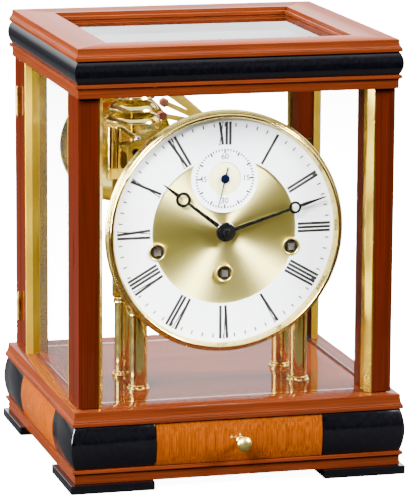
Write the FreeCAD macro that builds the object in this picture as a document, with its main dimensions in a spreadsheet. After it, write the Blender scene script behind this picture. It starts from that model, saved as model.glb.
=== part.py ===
"""A glass-sided wooden mantel clock with a round dial, chime bells and a drawer in its base."""
import FreeCAD, Part
import math
import os
import Sketcher
from types import SimpleNamespace

os.makedirs("parts", exist_ok=True)
doc = FreeCAD.newDocument("MantelClock")

# Driving sizes in millimetres and degrees. X is across the clock, Y goes back, Z goes up.
SIZES = dict(
    # the case as a whole, measured over its posts, and its height
    case_wide=223, case_deep=208, clock_high=305,
    # feet and base mouldings: how far each stands out past the posts
    foot_high=6, foot_wide=59, foot_long=62, foot_out_side=8, foot_out_front=11.3,
    plinth_high=10, body_high=30.5, board_high=10,
    base_out_side=4.6, base_out_front=7.7, base_bulge=2.9, lip_out=1.9, lip_high=3, lip_round=1,
    corner_wide=59.6, corner_long=53, panel_thick=14, drawer_gap=0.5, drawer_front_thick=14,
    tray_long=128, tray_wall=4, tray_clear=2.6, knob_radius=5.4, knob_long=14.5,
    # posts, doors and their glass
    post_wide=17, post_deep=16, seam=0.8, door_deep=15.6, stile_wide=14, trim_wide=4.2,
    trim_proud=0.3, door_clear=0.6, glass_thick=2.5, side_glass_inset=5.5, side_trim_thick=2,
    finger_radius=45, finger_deep=2.2, finger_reach=7, finger_above_board=108,
    # butt hinges
    leaf_wide=9, leaf_thick=0.8, leaf_gap=0.1, barrel_radius=1.3, barrel_out=1.4, pin_radius=0.6,
    hinge_high=20.4, knuckle_high=6.6, knuckle_gap=0.2, pin_over=0.6, hinge_from_board=32.5,
    hinge_from_crown=30.2,
    # crown
    crown_out_side=1, crown_out_front=4, crown_low_high=9.5, band_high=16, band_bulge=2.7,
    crown_top_high=8.5, rim_side=25.5, rim_front=27, glass_ledge=3, top_glass_thick=3,
    bead_wide=1.6, bead_high=2.8,
    # dial
    dial_above_board=113, dial_radius=84, dial_front=68, dial_thick=1.5, gold_radius=51.6,
    ring_radius=78.9, ring_thick=1, bezel_radius=85, bezel_high=8,
    seconds_above=36.7, seconds_radius=23.8, seconds_inner=11.7, seconds_thick=1.4,
    dial_foot_radius=2, dial_foot_side=40, dial_foot_above=30, dial_foot_below=46,
    # hands, turned clockwise from twelve
    hour_turn=308, minute_turn=73, seconds_turn=194, hour_reach=56, hour_eye_at=38.3,
    hour_eye_radius=5.4, hour_hub=5.5, minute_reach=75, minute_eye_at=51.9, minute_eye_radius=4.3,
    minute_hub=7, seconds_reach=20, seconds_tail=4.5, seconds_hub=3.2, hand_thick=0.6,
    hand_wide=1.8, eye_rim=1.5, hour_stand=3.7, minute_stand=5.5, seconds_stand=2.3,
    minute_pipe=2, hour_pipe=3.2, seconds_pipe=1, running_fit=0.05, nut_radius=2.6, nut_high=2.2,
    # movement plates, barrels, winding squares and balance
    plate_half=66, plate_below=55.5, plate_above=60.5, plate_thick=2.5, front_plate=57,
    plate_gap=42.5, pillar_radius=4, pillar_side=60, pillar_inset=5.5,
    wind_side=48, wind_below=13, wind_low=30, arbor_radius=3.5, square_half=2.2,
    arbor_front=70.8, square_long=6.8, arbor_tail=1.5, wind_hole=5, ferrule_wall=1, ferrule_high=1.2,
    barrel_drum=20, drum_long=38, drum_hub=6, balance_radius=11, balance_rim=1.8,
    balance_above=42, balance_staff=0.6, balance_thick=2,
    # columns under the movement
    column_side=58, column_radius=6.3, flange_radius=7.9, flange_high=3, cap_radius=7.4,
    # chime bells and hammers
    bridge_thick=2.5, bridge_left=74, bridge_right=12, bell_side=53.1, bell_deep=20,
    bell_radius=20.2, bell_step=2.5, bell_pitch=8.2, bell_lift=8.5, bell_high=7.2, bell_wall=0.9,
    spindle_radius=2, spindle_over=3, hammer_pivot_side=2, hammer_pivot_lift=5.5,
    hammer_rod=1.5, hammer_hub=3, hammer_hub_long=4.6, hammer_first=37.2, hammer_pitch=5.4,
    hammer_head=3.5, hammer_head_long=4.8, hammer_arm=0.9, hammer_rise=5.8, hammer_away=5.8,
    post_thick=2.5, post_half=4,
    # hour bell and hammer behind the movement
    hour_bell_radius=41, hour_bell_deep=24, hour_bell_side=57, hour_bell_above=49.5,
    hour_bell_behind=23.5, hour_post=3, strike_gap=2, strike_head=4, strike_head_long=10,
    strike_arm=1.2, strike_arm_long=23, strike_hub=3.5, strike_hub_long=6, strike_stud=1.5,
)


class Size:
    """A size that carries its value and the sheet expression that gives it."""

    def __init__(self, value, text):
        self.value = value
        self.text = text

    def __add__(self, other):
        other = size(other)
        return Size(self.value + other.value, f"({self.text} + {other.text})")

    def __sub__(self, other):
        other = size(other)
        return Size(self.value - other.value, f"({self.text} - {other.text})")

    def __mul__(self, other):
        other = size(other)
        return Size(self.value * other.value, f"({self.text} * {other.text})")

    def __truediv__(self, other):
        other = size(other)
        return Size(self.value / other.value, f"({self.text} / {other.text})")

    def __radd__(self, other):
        return size(other) + self

    def __rsub__(self, other):
        return size(other) - self

    def __rmul__(self, other):
        return size(other) * self

    def __neg__(self):
        return Size(-self.value, f"(-{self.text})")


def size(item):
    """A plain number or a Size, as a Size."""
    return item if isinstance(item, Size) else Size(item, repr(item))


def root(item):
    return Size(math.sqrt(item.value), f"sqrt({item.text})")


def steepness(rise, run):
    """The angle in degrees whose tangent is rise over run."""
    return Size(math.degrees(math.atan2(rise.value, run.value)), f"atan2({rise.text}; {run.text})")


sheet = doc.addObject("Spreadsheet::Sheet", "sizes")
for row, (alias, number) in enumerate(SIZES.items(), start=1):
    sheet.set(f"A{row}", alias)
    sheet.set(f"B{row}", str(number))
    sheet.setAlias(f"B{row}", alias)
doc.recompute()
s = SimpleNamespace(**{alias: Size(number, f"sizes.{alias}") for alias, number in SIZES.items()})
nodes = {}


def low_to_high(first, second):
    return sorted((size(first), size(second)), key=lambda item: item.value)


def bind(item, prop, value):
    """Set a property from the sheet."""
    value = size(value)
    item.setExpression(prop, value.text)


def place(item, x, y, z):
    for axis, value in zip("xyz", (x, y, z)):
        bind(item, f"Placement.Base.{axis}", value)


def node(item, label):
    """Name a finished sub-part."""
    item.Label = label
    nodes[label] = item
    return item


def box(name, xs, ys, zs):
    item = doc.addObject("Part::Box", name)
    for prop, (low, high) in zip(("Length", "Width", "Height"), (xs, ys, zs)):
        bind(item, prop, size(high) - low)
    place(item, xs[0], ys[0], zs[0])
    return item


AXES = {
    "X": FreeCAD.Rotation(FreeCAD.Vector(0, 1, 0), 90),
    "Y": FreeCAD.Rotation(FreeCAD.Vector(1, 0, 0), -90),
    "Z": FreeCAD.Rotation(),
}


def rod(name, axis, start, radius, length):
    """A cylinder from start along one axis."""
    item = doc.addObject("Part::Cylinder", name)
    item.Placement.Rotation = AXES[axis]
    bind(item, "Radius", radius)
    bind(item, "Height", length)
    place(item, *start)
    return item


def hexagon(name, axis, start, radius, length):
    """A six-sided bar from start along one axis."""
    item = doc.addObject("Part::Prism", name)
    item.Polygon = 6
    item.Placement.Rotation = AXES[axis]
    bind(item, "Circumradius", radius)
    bind(item, "Height", length)
    place(item, *start)
    return item


def fuse(name, items):
    item = doc.addObject("Part::MultiFuse", name)
    item.Shapes = items
    item.Refine = True
    return item


def common(name, items):
    item = doc.addObject("Part::MultiCommon", name)
    item.Shapes = items
    return item


def cut(name, base, tools):
    """A piece with one or more shapes taken out of it."""
    item = doc.addObject("Part::Cut", name)
    item.Base = base
    item.Tool = tools[0] if len(tools) == 1 else group(f"{name}_tools", tools)
    return item


def group(name, items):
    """Separate solids that are one kind of piece."""
    item = doc.addObject("Part::Compound", name)
    item.Links = items
    return item


def turned(name, axis, outline, at):
    """A turned piece: radius and height pairs, spun about the Y or Z axis through a point."""
    body = doc.addObject("PartDesign::Body", name)
    plane = {"Z": "XZ_Plane", "Y": "XY_Plane"}[axis]
    sketch = body.newObject("Sketcher::SketchObject", f"{name}_outline")
    sketch.AttachmentSupport = [(next(p for p in body.Origin.OriginFeatures if p.Role == plane), "")]
    sketch.MapMode = "FlatFace"
    points = [(size(radius), size(height)) for radius, height in outline]
    count = len(points)
    for index, (radius, height) in enumerate(points):
        after = points[(index + 1) % count]
        sketch.addGeometry(Part.LineSegment(
            FreeCAD.Vector(radius.value, height.value, 0),
            FreeCAD.Vector(after[0].value, after[1].value, 0)))
    for index, (radius, height) in enumerate(points):
        sketch.addConstraint(Sketcher.Constraint("Coincident", index, 2, (index + 1) % count, 1))
        for kind, line, value in (("DistanceX", -2, radius), ("DistanceY", -1, height)):
            if value.value == 0:
                sketch.addConstraint(Sketcher.Constraint("PointOnObject", index, 1, line))
                continue
            number = sketch.addConstraint(Sketcher.Constraint(kind, -1, 1, index, 1, value.value))
            sketch.setExpression(f"Constraints[{number}]", value.text)
    spun = body.newObject("PartDesign::Revolution", f"{name}_spun")
    spun.Profile = sketch
    spun.ReferenceAxis = (sketch, ["V_Axis"])
    spun.Angle = 360
    place(body, *at)
    return body


# ---- levels and half sizes, worked out from the driving sizes ----
half_x = s.case_wide / 2
half_y = s.case_deep / 2
knob_front = half_y + s.base_out_front + s.base_bulge + s.knob_long
foot_half_y = half_y + s.foot_out_front
foot_half_x = half_x + s.foot_out_side
shift = (knob_front - foot_half_y) / 2        # sets the whole clock over its own middle
plinth_z = s.foot_high
body_z = plinth_z + s.plinth_high
base_board_z = body_z + s.body_high
board_top = base_board_z + s.board_high
crown_top_z = s.clock_high - s.crown_top_high
band_z = crown_top_z - s.band_high
crown_z = band_z - s.crown_low_high
dial_z = board_top + s.dial_above_board


def y_at(value):
    """A depth measured from the middle of the case."""
    return value + shift


def span(low, high):
    return (y_at(size(low)), y_at(size(high)))


def slab(name, out_x, out_y, low, high):
    """A block centred on the clock."""
    return box(name, (-out_x, out_x), span(-out_y, out_y), (low, high))


def taper(name, low_out, high_out, low, high):
    """A centred block whose four sides lean in from low_out to high_out."""
    item = doc.addObject("Part::Wedge", name)
    item.Placement.Rotation = FreeCAD.Rotation(FreeCAD.Vector(1, 0, 0), 90)
    bind(item, "Xmin", -low_out[0])
    bind(item, "Xmax", low_out[0])
    bind(item, "Zmin", -low_out[1])
    bind(item, "Zmax", low_out[1])
    bind(item, "X2min", -high_out[0])
    bind(item, "X2max", high_out[0])
    bind(item, "Z2min", -high_out[1])
    bind(item, "Z2max", high_out[1])
    bind(item, "Ymin", 0)
    bind(item, "Ymax", high - low)
    place(item, 0, shift, low)
    return item


def moulding(name, edge, low, high, lip_on_top):
    """A board whose edge has a rounded lip and leans in from it."""
    lip = (edge[0] + s.lip_out, edge[1] + s.lip_out)
    neck = (edge[0] + s.lip_out / 2, edge[1] + s.lip_out / 2)
    if lip_on_top:
        bead = slab(f"{name}_lip", lip[0], lip[1], high - s.lip_high, high)
        lean = taper(f"{name}_lean", edge, neck, low, high - s.lip_high)
    else:
        bead = slab(f"{name}_lip", lip[0], lip[1], low, low + s.lip_high)
        lean = taper(f"{name}_lean", neck, edge, low + s.lip_high, high)
    doc.recompute()
    rounded = doc.addObject("Part::Fillet", f"{name}_bead")
    rounded.Base = bead
    round_over = SIZES["lip_round"]
    rounded.Edges = [(edge_number, round_over, round_over) for edge_number in range(1, 13)]
    return fuse(f"{name}_board", [rounded, lean])


def barrel_sided(name, out_x, out_y, bulge, low, high):
    """A centred block with all four sides bulging by the same amount between low and high."""
    tall = high - low
    radius = (tall * tall / 4 + bulge * bulge) / (2 * bulge)
    middle = (low + high) / 2
    long_x = 2 * (out_x + bulge)
    long_y = 2 * (out_y + bulge)
    inner_x = out_x + bulge - radius
    inner_y = out_y + bulge - radius
    sides_y = [slab(f"{name}_y_core", out_x + bulge, inner_y, low, high)]
    sides_x = [slab(f"{name}_x_core", inner_x, out_y + bulge, low, high)]
    for sign, word in ((1, "plus"), (-1, "minus")):
        across_at = (-long_x / 2, y_at(sign * inner_y), middle)
        along_at = (sign * inner_x, y_at(-long_y / 2), middle)
        sides_y.append(rod(f"{name}_y_{word}", "X", across_at, radius, long_x))
        sides_x.append(rod(f"{name}_x_{word}", "Y", along_at, radius, long_y))
    block = slab(f"{name}_block", out_x + bulge, out_y + bulge, low, high)
    return common(name, [block, fuse(f"{name}_across", sides_y), fuse(f"{name}_along", sides_x)])


# ---- feet and base ----
feet = []
for side in (-1, 1):
    for end in (-1, 1):
        xs = low_to_high(side * foot_half_x, side * (foot_half_x - s.foot_wide))
        ys = low_to_high(end * foot_half_y, end * (foot_half_y - s.foot_long))
        feet.append(box(f"foot_{len(feet)}", xs, span(*ys), (0, s.foot_high)))
node(group("feet_group", feet), "feet")

base_edge = (half_x + s.base_out_side, half_y + s.base_out_front)
crown_edge = (half_x + s.crown_out_side, half_y + s.crown_out_front)
node(moulding("plinth", base_edge, plinth_z, body_z, True), "plinth_moulding")
node(moulding("base_top", base_edge, base_board_z, board_top, False), "base_board")

base_form = barrel_sided("base_form", base_edge[0], base_edge[1], s.base_bulge, body_z, base_board_z)
far = (half_x + half_y) * 2
body_span = (body_z, base_board_z)
corners = []
for side in (-1, 1):
    for end in (-1, 1):
        xs = low_to_high(side * s.corner_wide, side * far)
        ys = low_to_high(end * s.corner_long, end * far)
        block = box(f"corner_block_{len(corners)}", xs, span(*ys), body_span)
        corners.append(common(f"corner_{len(corners)}", [base_form, block]))
node(group("corner_blocks", corners), "base_corners")
side_panels = []
for side, word in ((-1, "left"), (1, "right")):
    xs = low_to_high(side * (base_edge[0] - s.panel_thick), side * far)
    block = box(f"panel_block_{word}", xs, span(-s.corner_long, s.corner_long), body_span)
    side_panels.append(common(f"panel_{word}", [base_form, block]))
node(group("side_panels", side_panels), "base_side_panels")
back_block = box("panel_block_back", (-s.corner_wide, s.corner_wide),
                 span(base_edge[1] - s.panel_thick, far), body_span)
node(common("panel_back", [base_form, back_block]), "base_panel_back")

# ---- drawer ----
drawer_half = s.corner_wide - s.drawer_gap
drawer_back = base_edge[1] - s.drawer_front_thick
drawer_low = body_z + s.drawer_gap
drawer_high = base_board_z - s.drawer_gap
front_block = box("drawer_block", (-drawer_half, drawer_half), span(-far, -drawer_back),
                  (drawer_low, drawer_high))
node(common("drawer_face", [base_form, front_block]), "drawer_front")
tray_half = s.corner_wide - s.tray_clear
tray_high = drawer_high - s.tray_clear
tray_outer = box("tray_outer", (-tray_half, tray_half), span(-drawer_back, s.tray_long - drawer_back),
                 (drawer_low, tray_high))
tray_room = box("tray_room", (s.tray_wall - tray_half, tray_half - s.tray_wall),
                span(s.tray_wall - drawer_back, s.tray_long - drawer_back - s.tray_wall),
                (drawer_low + s.tray_wall, tray_high + s.tray_wall))
node(cut("tray", tray_outer, [tray_room]), "drawer_tray")
knob_foot = -(base_edge[1] + s.base_bulge)
knob_outline = (
    (0, 0), (s.knob_radius * 0.6, 0), (s.knob_radius * 0.45, -s.knob_long * 0.2),
    (s.knob_radius * 0.45, -s.knob_long * 0.45), (s.knob_radius * 0.9, -s.knob_long * 0.6),
    (s.knob_radius, -s.knob_long * 0.75), (s.knob_radius * 0.85, -s.knob_long * 0.92),
    (s.knob_radius * 0.45, -s.knob_long), (0, -s.knob_long))
node(turned("knob", "Y", knob_outline, (0, y_at(knob_foot), (body_z + base_board_z) / 2)), "drawer_knob")


# ---- hinges: both doors have two butt hinges on the seam at one side ----
barrel_x = half_x + s.barrel_out
seam_y = half_y - (s.door_deep + s.seam / 2)
hinge_levels = (board_top + s.hinge_from_board, crown_z - s.hinge_from_crown)


def leaf_box(name, side, seam_side, facing, xs, zs):
    """A flat stretch of hinge leaf; facing is -1 or 1 for the side of the seam it lies on."""
    out = low_to_high(side * xs[0], side * xs[1])
    deep = low_to_high(seam_side * seam_y + facing * s.leaf_gap,
                       seam_side * seam_y + facing * (s.leaf_gap + s.leaf_thick))
    return box(name, out, span(*deep), zs)


def leaf(name, side, seam_side, facing, level, knuckles, bore):
    """One hinge leaf with its knuckles on the barrel line."""
    low, high = level - s.hinge_high / 2, level + s.hinge_high / 2
    plate = leaf_box(f"{name}_plate", side, seam_side, facing,
                     (half_x - s.leaf_wide, half_x - s.leaf_gap), (low, high))
    solids = [plate]
    holes = []
    for index, (start, end) in enumerate(knuckles):
        tab_in, tab_out = half_x - s.leaf_wide / 2, barrel_x - (bore + s.leaf_gap)
        solids.append(leaf_box(f"{name}_tab_{index}", side, seam_side, facing,
                               (tab_in, tab_out), (start, end)))
        at = (side * barrel_x, y_at(seam_side * seam_y), start)
        solids.append(rod(f"{name}_knuckle_{index}", "Z", at, s.barrel_radius, end - start))
        holes.append(rod(f"{name}_bore_{index}", "Z", at, bore, end - start))
    return cut(name, fuse(f"{name}_solid", solids), holes)


case_leaves = []
pins = []
mortises = {}
for door, side, seam_side in (("front", 1, -1), ("back", -1, 1)):
    door_leaves = []
    mortises[door, "door"] = []
    mortises[door, "post"] = []
    for index, level in enumerate(hinge_levels):
        half_knuckle = s.knuckle_high / 2
        low, high = level - s.hinge_high / 2, level + s.hinge_high / 2
        name = f"{door}_hinge_{index}"
        outer_knuckles = ((low, level - half_knuckle - s.knuckle_gap),
                          (level + half_knuckle + s.knuckle_gap, high))
        case_leaves.append(leaf(f"{name}_case", side, seam_side, -seam_side, level,
                                outer_knuckles, s.pin_radius))
        door_leaves.append(leaf(f"{name}_door", side, seam_side, seam_side, level,
                                ((level - half_knuckle, level + half_knuckle),),
                                s.pin_radius + s.running_fit))
        pins.append(rod(f"{name}_pin", "Z", (side * barrel_x, y_at(seam_side * seam_y), low - s.pin_over),
                        s.pin_radius, s.hinge_high + 2 * s.pin_over))
        for kind, facing in (("door", seam_side), ("post", -seam_side)):
            mortises[door, kind].append(leaf_box(
                f"{name}_{kind}_mortise", side, seam_side, facing,
                (half_x - s.leaf_wide, half_x + s.leaf_wide), (low, high)))
    node(group(f"{door}_leaves", door_leaves), f"{door}_door_hinge_leaves")
node(group("case_leaves", case_leaves), "case_hinge_leaves")
node(group("pins", pins), "hinge_pins")

# ---- posts, side glass and its brass strips ----
post_out_y = half_y - s.door_deep - s.seam
post_in_y = post_out_y - s.post_deep
for side in (-1, 1):
    for end in (-1, 1):
        xs = low_to_high(side * half_x, side * (half_x - s.post_wide))
        ys = low_to_high(end * post_out_y, end * post_in_y)
        word = ("front" if end < 0 else "back") + ("_left" if side < 0 else "_right")
        post = box(f"post_{word}_wood", xs, span(*ys), (board_top, crown_z))
        door = {("front_right"): "front", ("back_left"): "back"}.get(word)
        if door:
            post = cut(f"post_{word}_cut", post, mortises[door, "post"])
        node(post, f"post_{word}")
glass_out_x = half_x - s.side_glass_inset
side_strips = []
for side, word in ((-1, "left"), (1, "right")):
    xs = low_to_high(side * glass_out_x, side * (glass_out_x - s.glass_thick))
    node(box(f"side_pane_{word}", xs, span(-post_in_y, post_in_y), (board_top, crown_z)),
         f"side_glass_{word}")
    for end in (-1, 1):
        xs = low_to_high(side * (half_x - s.trim_proud), side * glass_out_x)
        ys = low_to_high(end * post_in_y, end * (post_in_y - s.side_trim_thick))
        side_strips.append(box(f"side_strip_{word}_{end + 1}", xs, span(*ys), (board_top, crown_z)))
node(group("side_strips", side_strips), "side_trims")

# ---- doors: two stiles with brass strips, and a full-height pane between them ----
door_zs = (board_top + s.door_clear, crown_z - s.door_clear)
door_in_y = half_y - s.door_deep
for door, end, hinge_word in (("front", -1, "right"), ("back", 1, "left")):
    strips = []
    for side, word in ((-1, "left"), (1, "right")):
        xs = low_to_high(side * half_x, side * (half_x - s.stile_wide))
        ys = low_to_high(end * half_y, end * door_in_y)
        stile = box(f"{door}_stile_{word}_wood", xs, span(*ys), door_zs)
        if word == hinge_word:
            stile = cut(f"{door}_stile_{word}_cut", stile, mortises[door, "door"])
        else:
            reach = low_to_high(side * (half_x - s.finger_reach), side * (half_x + s.finger_reach))
            scoop = rod(f"{door}_finger_scoop", "X",
                        (reach[0], y_at(end * (door_in_y + s.finger_deep - s.finger_radius)),
                         board_top + s.finger_above_board), s.finger_radius, reach[1] - reach[0])
            stile = cut(f"{door}_stile_{word}_cut", stile, [scoop])
        node(stile, f"{door}_stile_{word}")
        inner = half_x - s.stile_wide
        xs = low_to_high(side * inner, side * (inner - s.trim_wide))
        ys = low_to_high(end * (half_y + s.trim_proud), end * (door_in_y + s.glass_thick))
        strips.append(box(f"{door}_strip_{word}", xs, span(*ys), door_zs))
    node(group(f"{door}_strips", strips), f"{door}_door_trims")
    ys = low_to_high(end * door_in_y, end * (door_in_y + s.glass_thick))
    node(box(f"{door}_pane", (s.stile_wide - half_x, half_x - s.stile_wide), span(*ys), door_zs),
         f"{door}_glass")

# ---- crown ----
window = (crown_edge[0] - s.rim_side, crown_edge[1] - s.rim_front)
ledge = (window[0] - s.glass_ledge, window[1] - s.glass_ledge)
rebate = (window[0] + s.glass_ledge, window[1] + s.glass_ledge)
glass_top = crown_top_z + s.top_glass_thick
crown_low_board = moulding("crown_low", crown_edge, crown_z, band_z, True)
node(cut("crown_low_frame", crown_low_board, [slab("crown_low_window", ledge[0], ledge[1], 0, band_z)]),
     "crown_lower_moulding")
band_form = barrel_sided("band_form", crown_edge[0], crown_edge[1], s.band_bulge, band_z, crown_top_z)
node(cut("band_frame", band_form, [slab("band_window", ledge[0], ledge[1], 0, s.clock_high)]),
     "crown_band")
crown_top_board = moulding("crown_top", crown_edge, crown_top_z, s.clock_high, False)
node(cut("crown_top_frame_cut", crown_top_board, [
    slab("crown_top_window", window[0], window[1], 0, s.clock_high),
    slab("crown_top_rebate", rebate[0], rebate[1], 0, glass_top)]), "crown_top_frame")
node(slab("top_pane", rebate[0], rebate[1], crown_top_z, glass_top), "top_glass")
bead_block = slab("bead_block", window[0], window[1], glass_top, glass_top + s.bead_high)
node(cut("bead_frame", bead_block, [
    slab("bead_window", window[0] - s.bead_wide, window[1] - s.bead_wide, 0, s.clock_high)]),
    "top_glass_bead")

# ---- columns and movement plates ----
plate_low = dial_z - s.plate_below
plate_high = dial_z + s.plate_above
front_plate_y = -s.front_plate
front_plate_back = front_plate_y + s.plate_thick
back_plate_y = front_plate_back + s.plate_gap
back_plate_back = back_plate_y + s.plate_thick
column_tall = plate_low - board_top
column_outline = (
    (0, 0), (s.flange_radius, 0), (s.flange_radius, s.flange_high * 0.6),
    (s.column_radius, s.flange_high), (s.column_radius, column_tall - s.flange_high),
    (s.cap_radius, column_tall - s.flange_high), (s.cap_radius, column_tall), (0, column_tall))
columns = []
for side in (-1, 1):
    for plate_y in (front_plate_y, back_plate_y):
        at = (side * s.column_side, y_at(plate_y + s.plate_thick / 2), board_top)
        columns.append(turned(f"column_{len(columns)}", "Z", column_outline, at))
node(group("columns", columns), "movement_columns")

arbor_places = (("left", -s.wind_side, dial_z - s.wind_below), ("right", s.wind_side, dial_z - s.wind_below),
                ("low", size(0), dial_z - s.wind_low))
arbor_hole = s.arbor_radius + s.running_fit
seconds_z = dial_z + s.seconds_above
balance_z = dial_z + s.balance_above
plate_xs = (-s.plate_half, s.plate_half)


def holes_through(name, y_start, length, places):
    return [rod(f"{name}_hole_{index}", "Y", (x, y_at(y_start), z), radius, length)
            for index, (x, z, radius) in enumerate(places)]


arbor_holes = [(x, z, arbor_hole) for _, x, z in arbor_places]
balance_hole = (0, balance_z, s.balance_staff + s.running_fit)
front_holes = arbor_holes + [
    balance_hole, (0, dial_z, s.minute_pipe + s.running_fit), (0, seconds_z, s.seconds_pipe + s.running_fit)]
plate_zs = (plate_low, plate_high)
front_blank = box("front_plate_blank", plate_xs, span(front_plate_y, front_plate_back), plate_zs)
node(cut("front_plate_cut", front_blank,
         holes_through("front_plate", front_plate_y, s.plate_thick, front_holes)), "front_plate")
back_blank = box("back_plate_blank", plate_xs, span(back_plate_y, back_plate_back), plate_zs)
back_holes = arbor_holes + [balance_hole]
node(cut("back_plate_cut", back_blank,
         holes_through("back_plate", back_plate_y, s.plate_thick, back_holes)), "back_plate")
pillars = []
for side in (-1, 1):
    for level in (plate_low + s.pillar_inset, plate_high - s.pillar_inset):
        at = (side * s.pillar_side, y_at(front_plate_back), level)
        pillars.append(rod(f"pillar_{len(pillars)}", "Y", at, s.pillar_radius, s.plate_gap))
node(group("pillars", pillars), "plate_pillars")

# ---- mainspring barrels and winding arbors ----
drum_inset = (s.plate_gap - s.drum_long) / 2
barrels = []
for word, x, z in arbor_places:
    drum = rod(f"drum_{word}", "Y", (x, y_at(front_plate_back + drum_inset), z), s.barrel_drum, s.drum_long)
    hub = rod(f"drum_hub_{word}", "Y", (x, y_at(front_plate_back), z), s.drum_hub, s.plate_gap)
    bore = rod(f"drum_bore_{word}", "Y", (x, y_at(front_plate_back), z), arbor_hole, s.plate_gap)
    barrels.append(cut(f"barrel_{word}", fuse(f"barrel_solid_{word}", [drum, hub]), [bore]))
    shaft_y = -s.arbor_front + s.square_long
    shaft_long = back_plate_back + s.arbor_tail - shaft_y
    shaft = rod(f"shaft_{word}", "Y", (x, y_at(shaft_y), z), s.arbor_radius, shaft_long)
    square = box(f"square_{word}", (x - s.square_half, x + s.square_half), span(-s.arbor_front, shaft_y),
                 (z - s.square_half, z + s.square_half))
    node(fuse(f"arbor_{word}", [shaft, square]), f"winding_arbor_{word}")
node(group("barrels", barrels), "mainspring_barrels")

# ---- balance wheel ----
balance_y = (front_plate_back + back_plate_y) / 2
staff = rod("staff", "Y", (0, y_at(front_plate_back), balance_z), s.balance_staff, s.plate_gap)
wheel_y = y_at(balance_y - s.balance_thick / 2)
wheel = rod("wheel", "Y", (0, wheel_y, balance_z), s.balance_radius, s.balance_thick)
wheel_inner = s.balance_radius - s.balance_rim
wheel_room = rod("wheel_room", "Y", (0, wheel_y, balance_z), wheel_inner, s.balance_thick)
half_rim = s.balance_rim / 2
spoke = box("spoke", (-(wheel_inner + half_rim), wheel_inner + half_rim),
            (wheel_y, wheel_y + s.balance_thick), (balance_z - half_rim, balance_z + half_rim))
node(fuse("balance", [cut("wheel_rim", wheel, [wheel_room]), spoke, staff]), "balance_wheel")

# ---- dial ----
dial_y = -s.dial_front
dial_back = dial_y + s.dial_thick
dial_disc = rod("dial_disc", "Y", (0, y_at(dial_y), dial_z), s.dial_radius, s.dial_thick)
ferrules = [rod(f"ferrule_{word}", "Y", (x, y_at(dial_y - s.ferrule_high), z), s.wind_hole + s.ferrule_wall,
                s.ferrule_high) for word, x, z in arbor_places]
dial_feet = [rod(f"dial_foot_{side}_{index}", "Y", (side * s.dial_foot_side, y_at(dial_back), level),
                 s.dial_foot_radius, front_plate_y - dial_back)
             for side in (-1, 1) for index, level in enumerate((dial_z + s.dial_foot_above,
                                                                dial_z - s.dial_foot_below))]
dial_holes = [(x, z, s.wind_hole) for _, x, z in arbor_places] + [
    (0, dial_z, s.hour_pipe + s.running_fit), (0, seconds_z, s.seconds_pipe + s.running_fit)]
dial_through = holes_through("dial", dial_y - s.ferrule_high, s.dial_thick + s.ferrule_high, dial_holes)
node(cut("dial_cut", fuse("dial_solid", [dial_disc] + ferrules + dial_feet), dial_through), "dial_plate")
ring_y = y_at(dial_y - s.ring_thick)
ring_disc = rod("ring_disc", "Y", (0, ring_y, dial_z), s.ring_radius, s.ring_thick)
ring_room = rod("ring_room", "Y", (0, ring_y, dial_z), s.gold_radius, s.ring_thick)
seconds_room = rod("seconds_room", "Y", (0, ring_y, seconds_z), s.seconds_radius, s.ring_thick)
ferrule_rooms = [rod(f"ferrule_room_{word}", "Y", (x, ring_y, z), s.wind_hole + s.ferrule_wall, s.ring_thick)
                 for word, x, z in arbor_places]
ring_rooms = fuse("ring_rooms", [ring_room, seconds_room] + ferrule_rooms)
node(cut("ring_cut", ring_disc, [ring_rooms]), "chapter_ring")
seconds_y = y_at(dial_y - s.seconds_thick)
seconds_disc = rod("seconds_disc", "Y", (0, seconds_y, seconds_z), s.seconds_radius, s.seconds_thick)
seconds_hole = rod("seconds_hole", "Y", (0, seconds_y, seconds_z), s.seconds_inner, s.seconds_thick)
node(cut("seconds_ring", seconds_disc, [seconds_hole]), "seconds_dial")
bezel_in = s.ring_radius + s.running_fit
bezel_wall = s.bezel_radius - bezel_in
bezel_outline = (
    (bezel_in, 0), (s.bezel_radius, 0), (s.bezel_radius, -s.bezel_high * 0.4),
    (bezel_in + bezel_wall * 0.85, -s.bezel_high * 0.7), (bezel_in + bezel_wall * 0.6, -s.bezel_high * 0.97),
    (bezel_in + bezel_wall * 0.4, -s.bezel_high), (bezel_in + bezel_wall * 0.2, -s.bezel_high * 0.75),
    (bezel_in, -s.bezel_high * 0.35))
node(turned("bezel_body", "Y", bezel_outline, (0, y_at(dial_y), dial_z)), "bezel")


# ---- hands ----
def hand(name, hub, pipe, bore, stand, pipe_end, reach, eye_at, eye_radius, turn, centre_z):
    """A hand built pointing at twelve: hub, pipe, blade and open eye, then turned to its time."""
    hub_y = dial_y - stand
    solids = [rod(f"{name}_hub", "Y", (0, 0, 0), hub, s.hand_thick),
              rod(f"{name}_pipe", "Y", (0, 0, 0), pipe, pipe_end - hub_y),
              box(f"{name}_blade", (-s.hand_wide / 2, s.hand_wide / 2), (0, s.hand_thick),
                  (0, eye_at - eye_radius + s.eye_rim / 2)),
              box(f"{name}_tip", (-s.hand_wide / 2, s.hand_wide / 2), (0, s.hand_thick),
                  (eye_at + eye_radius - s.eye_rim / 2, reach))]
    outer = rod(f"{name}_eye_outer", "Y", (0, 0, eye_at), eye_radius, s.hand_thick)
    inner = rod(f"{name}_eye_inner", "Y", (0, 0, eye_at), eye_radius - s.eye_rim, s.hand_thick)
    solids.append(cut(f"{name}_eye", outer, [inner]))
    piece = fuse(f"{name}_solid", solids)
    if bore is not None:
        piece = cut(f"{name}_bored", piece, [rod(f"{name}_bore", "Y", (0, 0, 0), bore, pipe_end - hub_y)])
    piece.Placement.Rotation = FreeCAD.Rotation(FreeCAD.Vector(0, 1, 0), SIZES[turn])
    piece.setExpression("Placement.Rotation.Angle", f"sizes.{turn}")
    place(piece, 0, y_at(hub_y), centre_z)
    return piece


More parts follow.
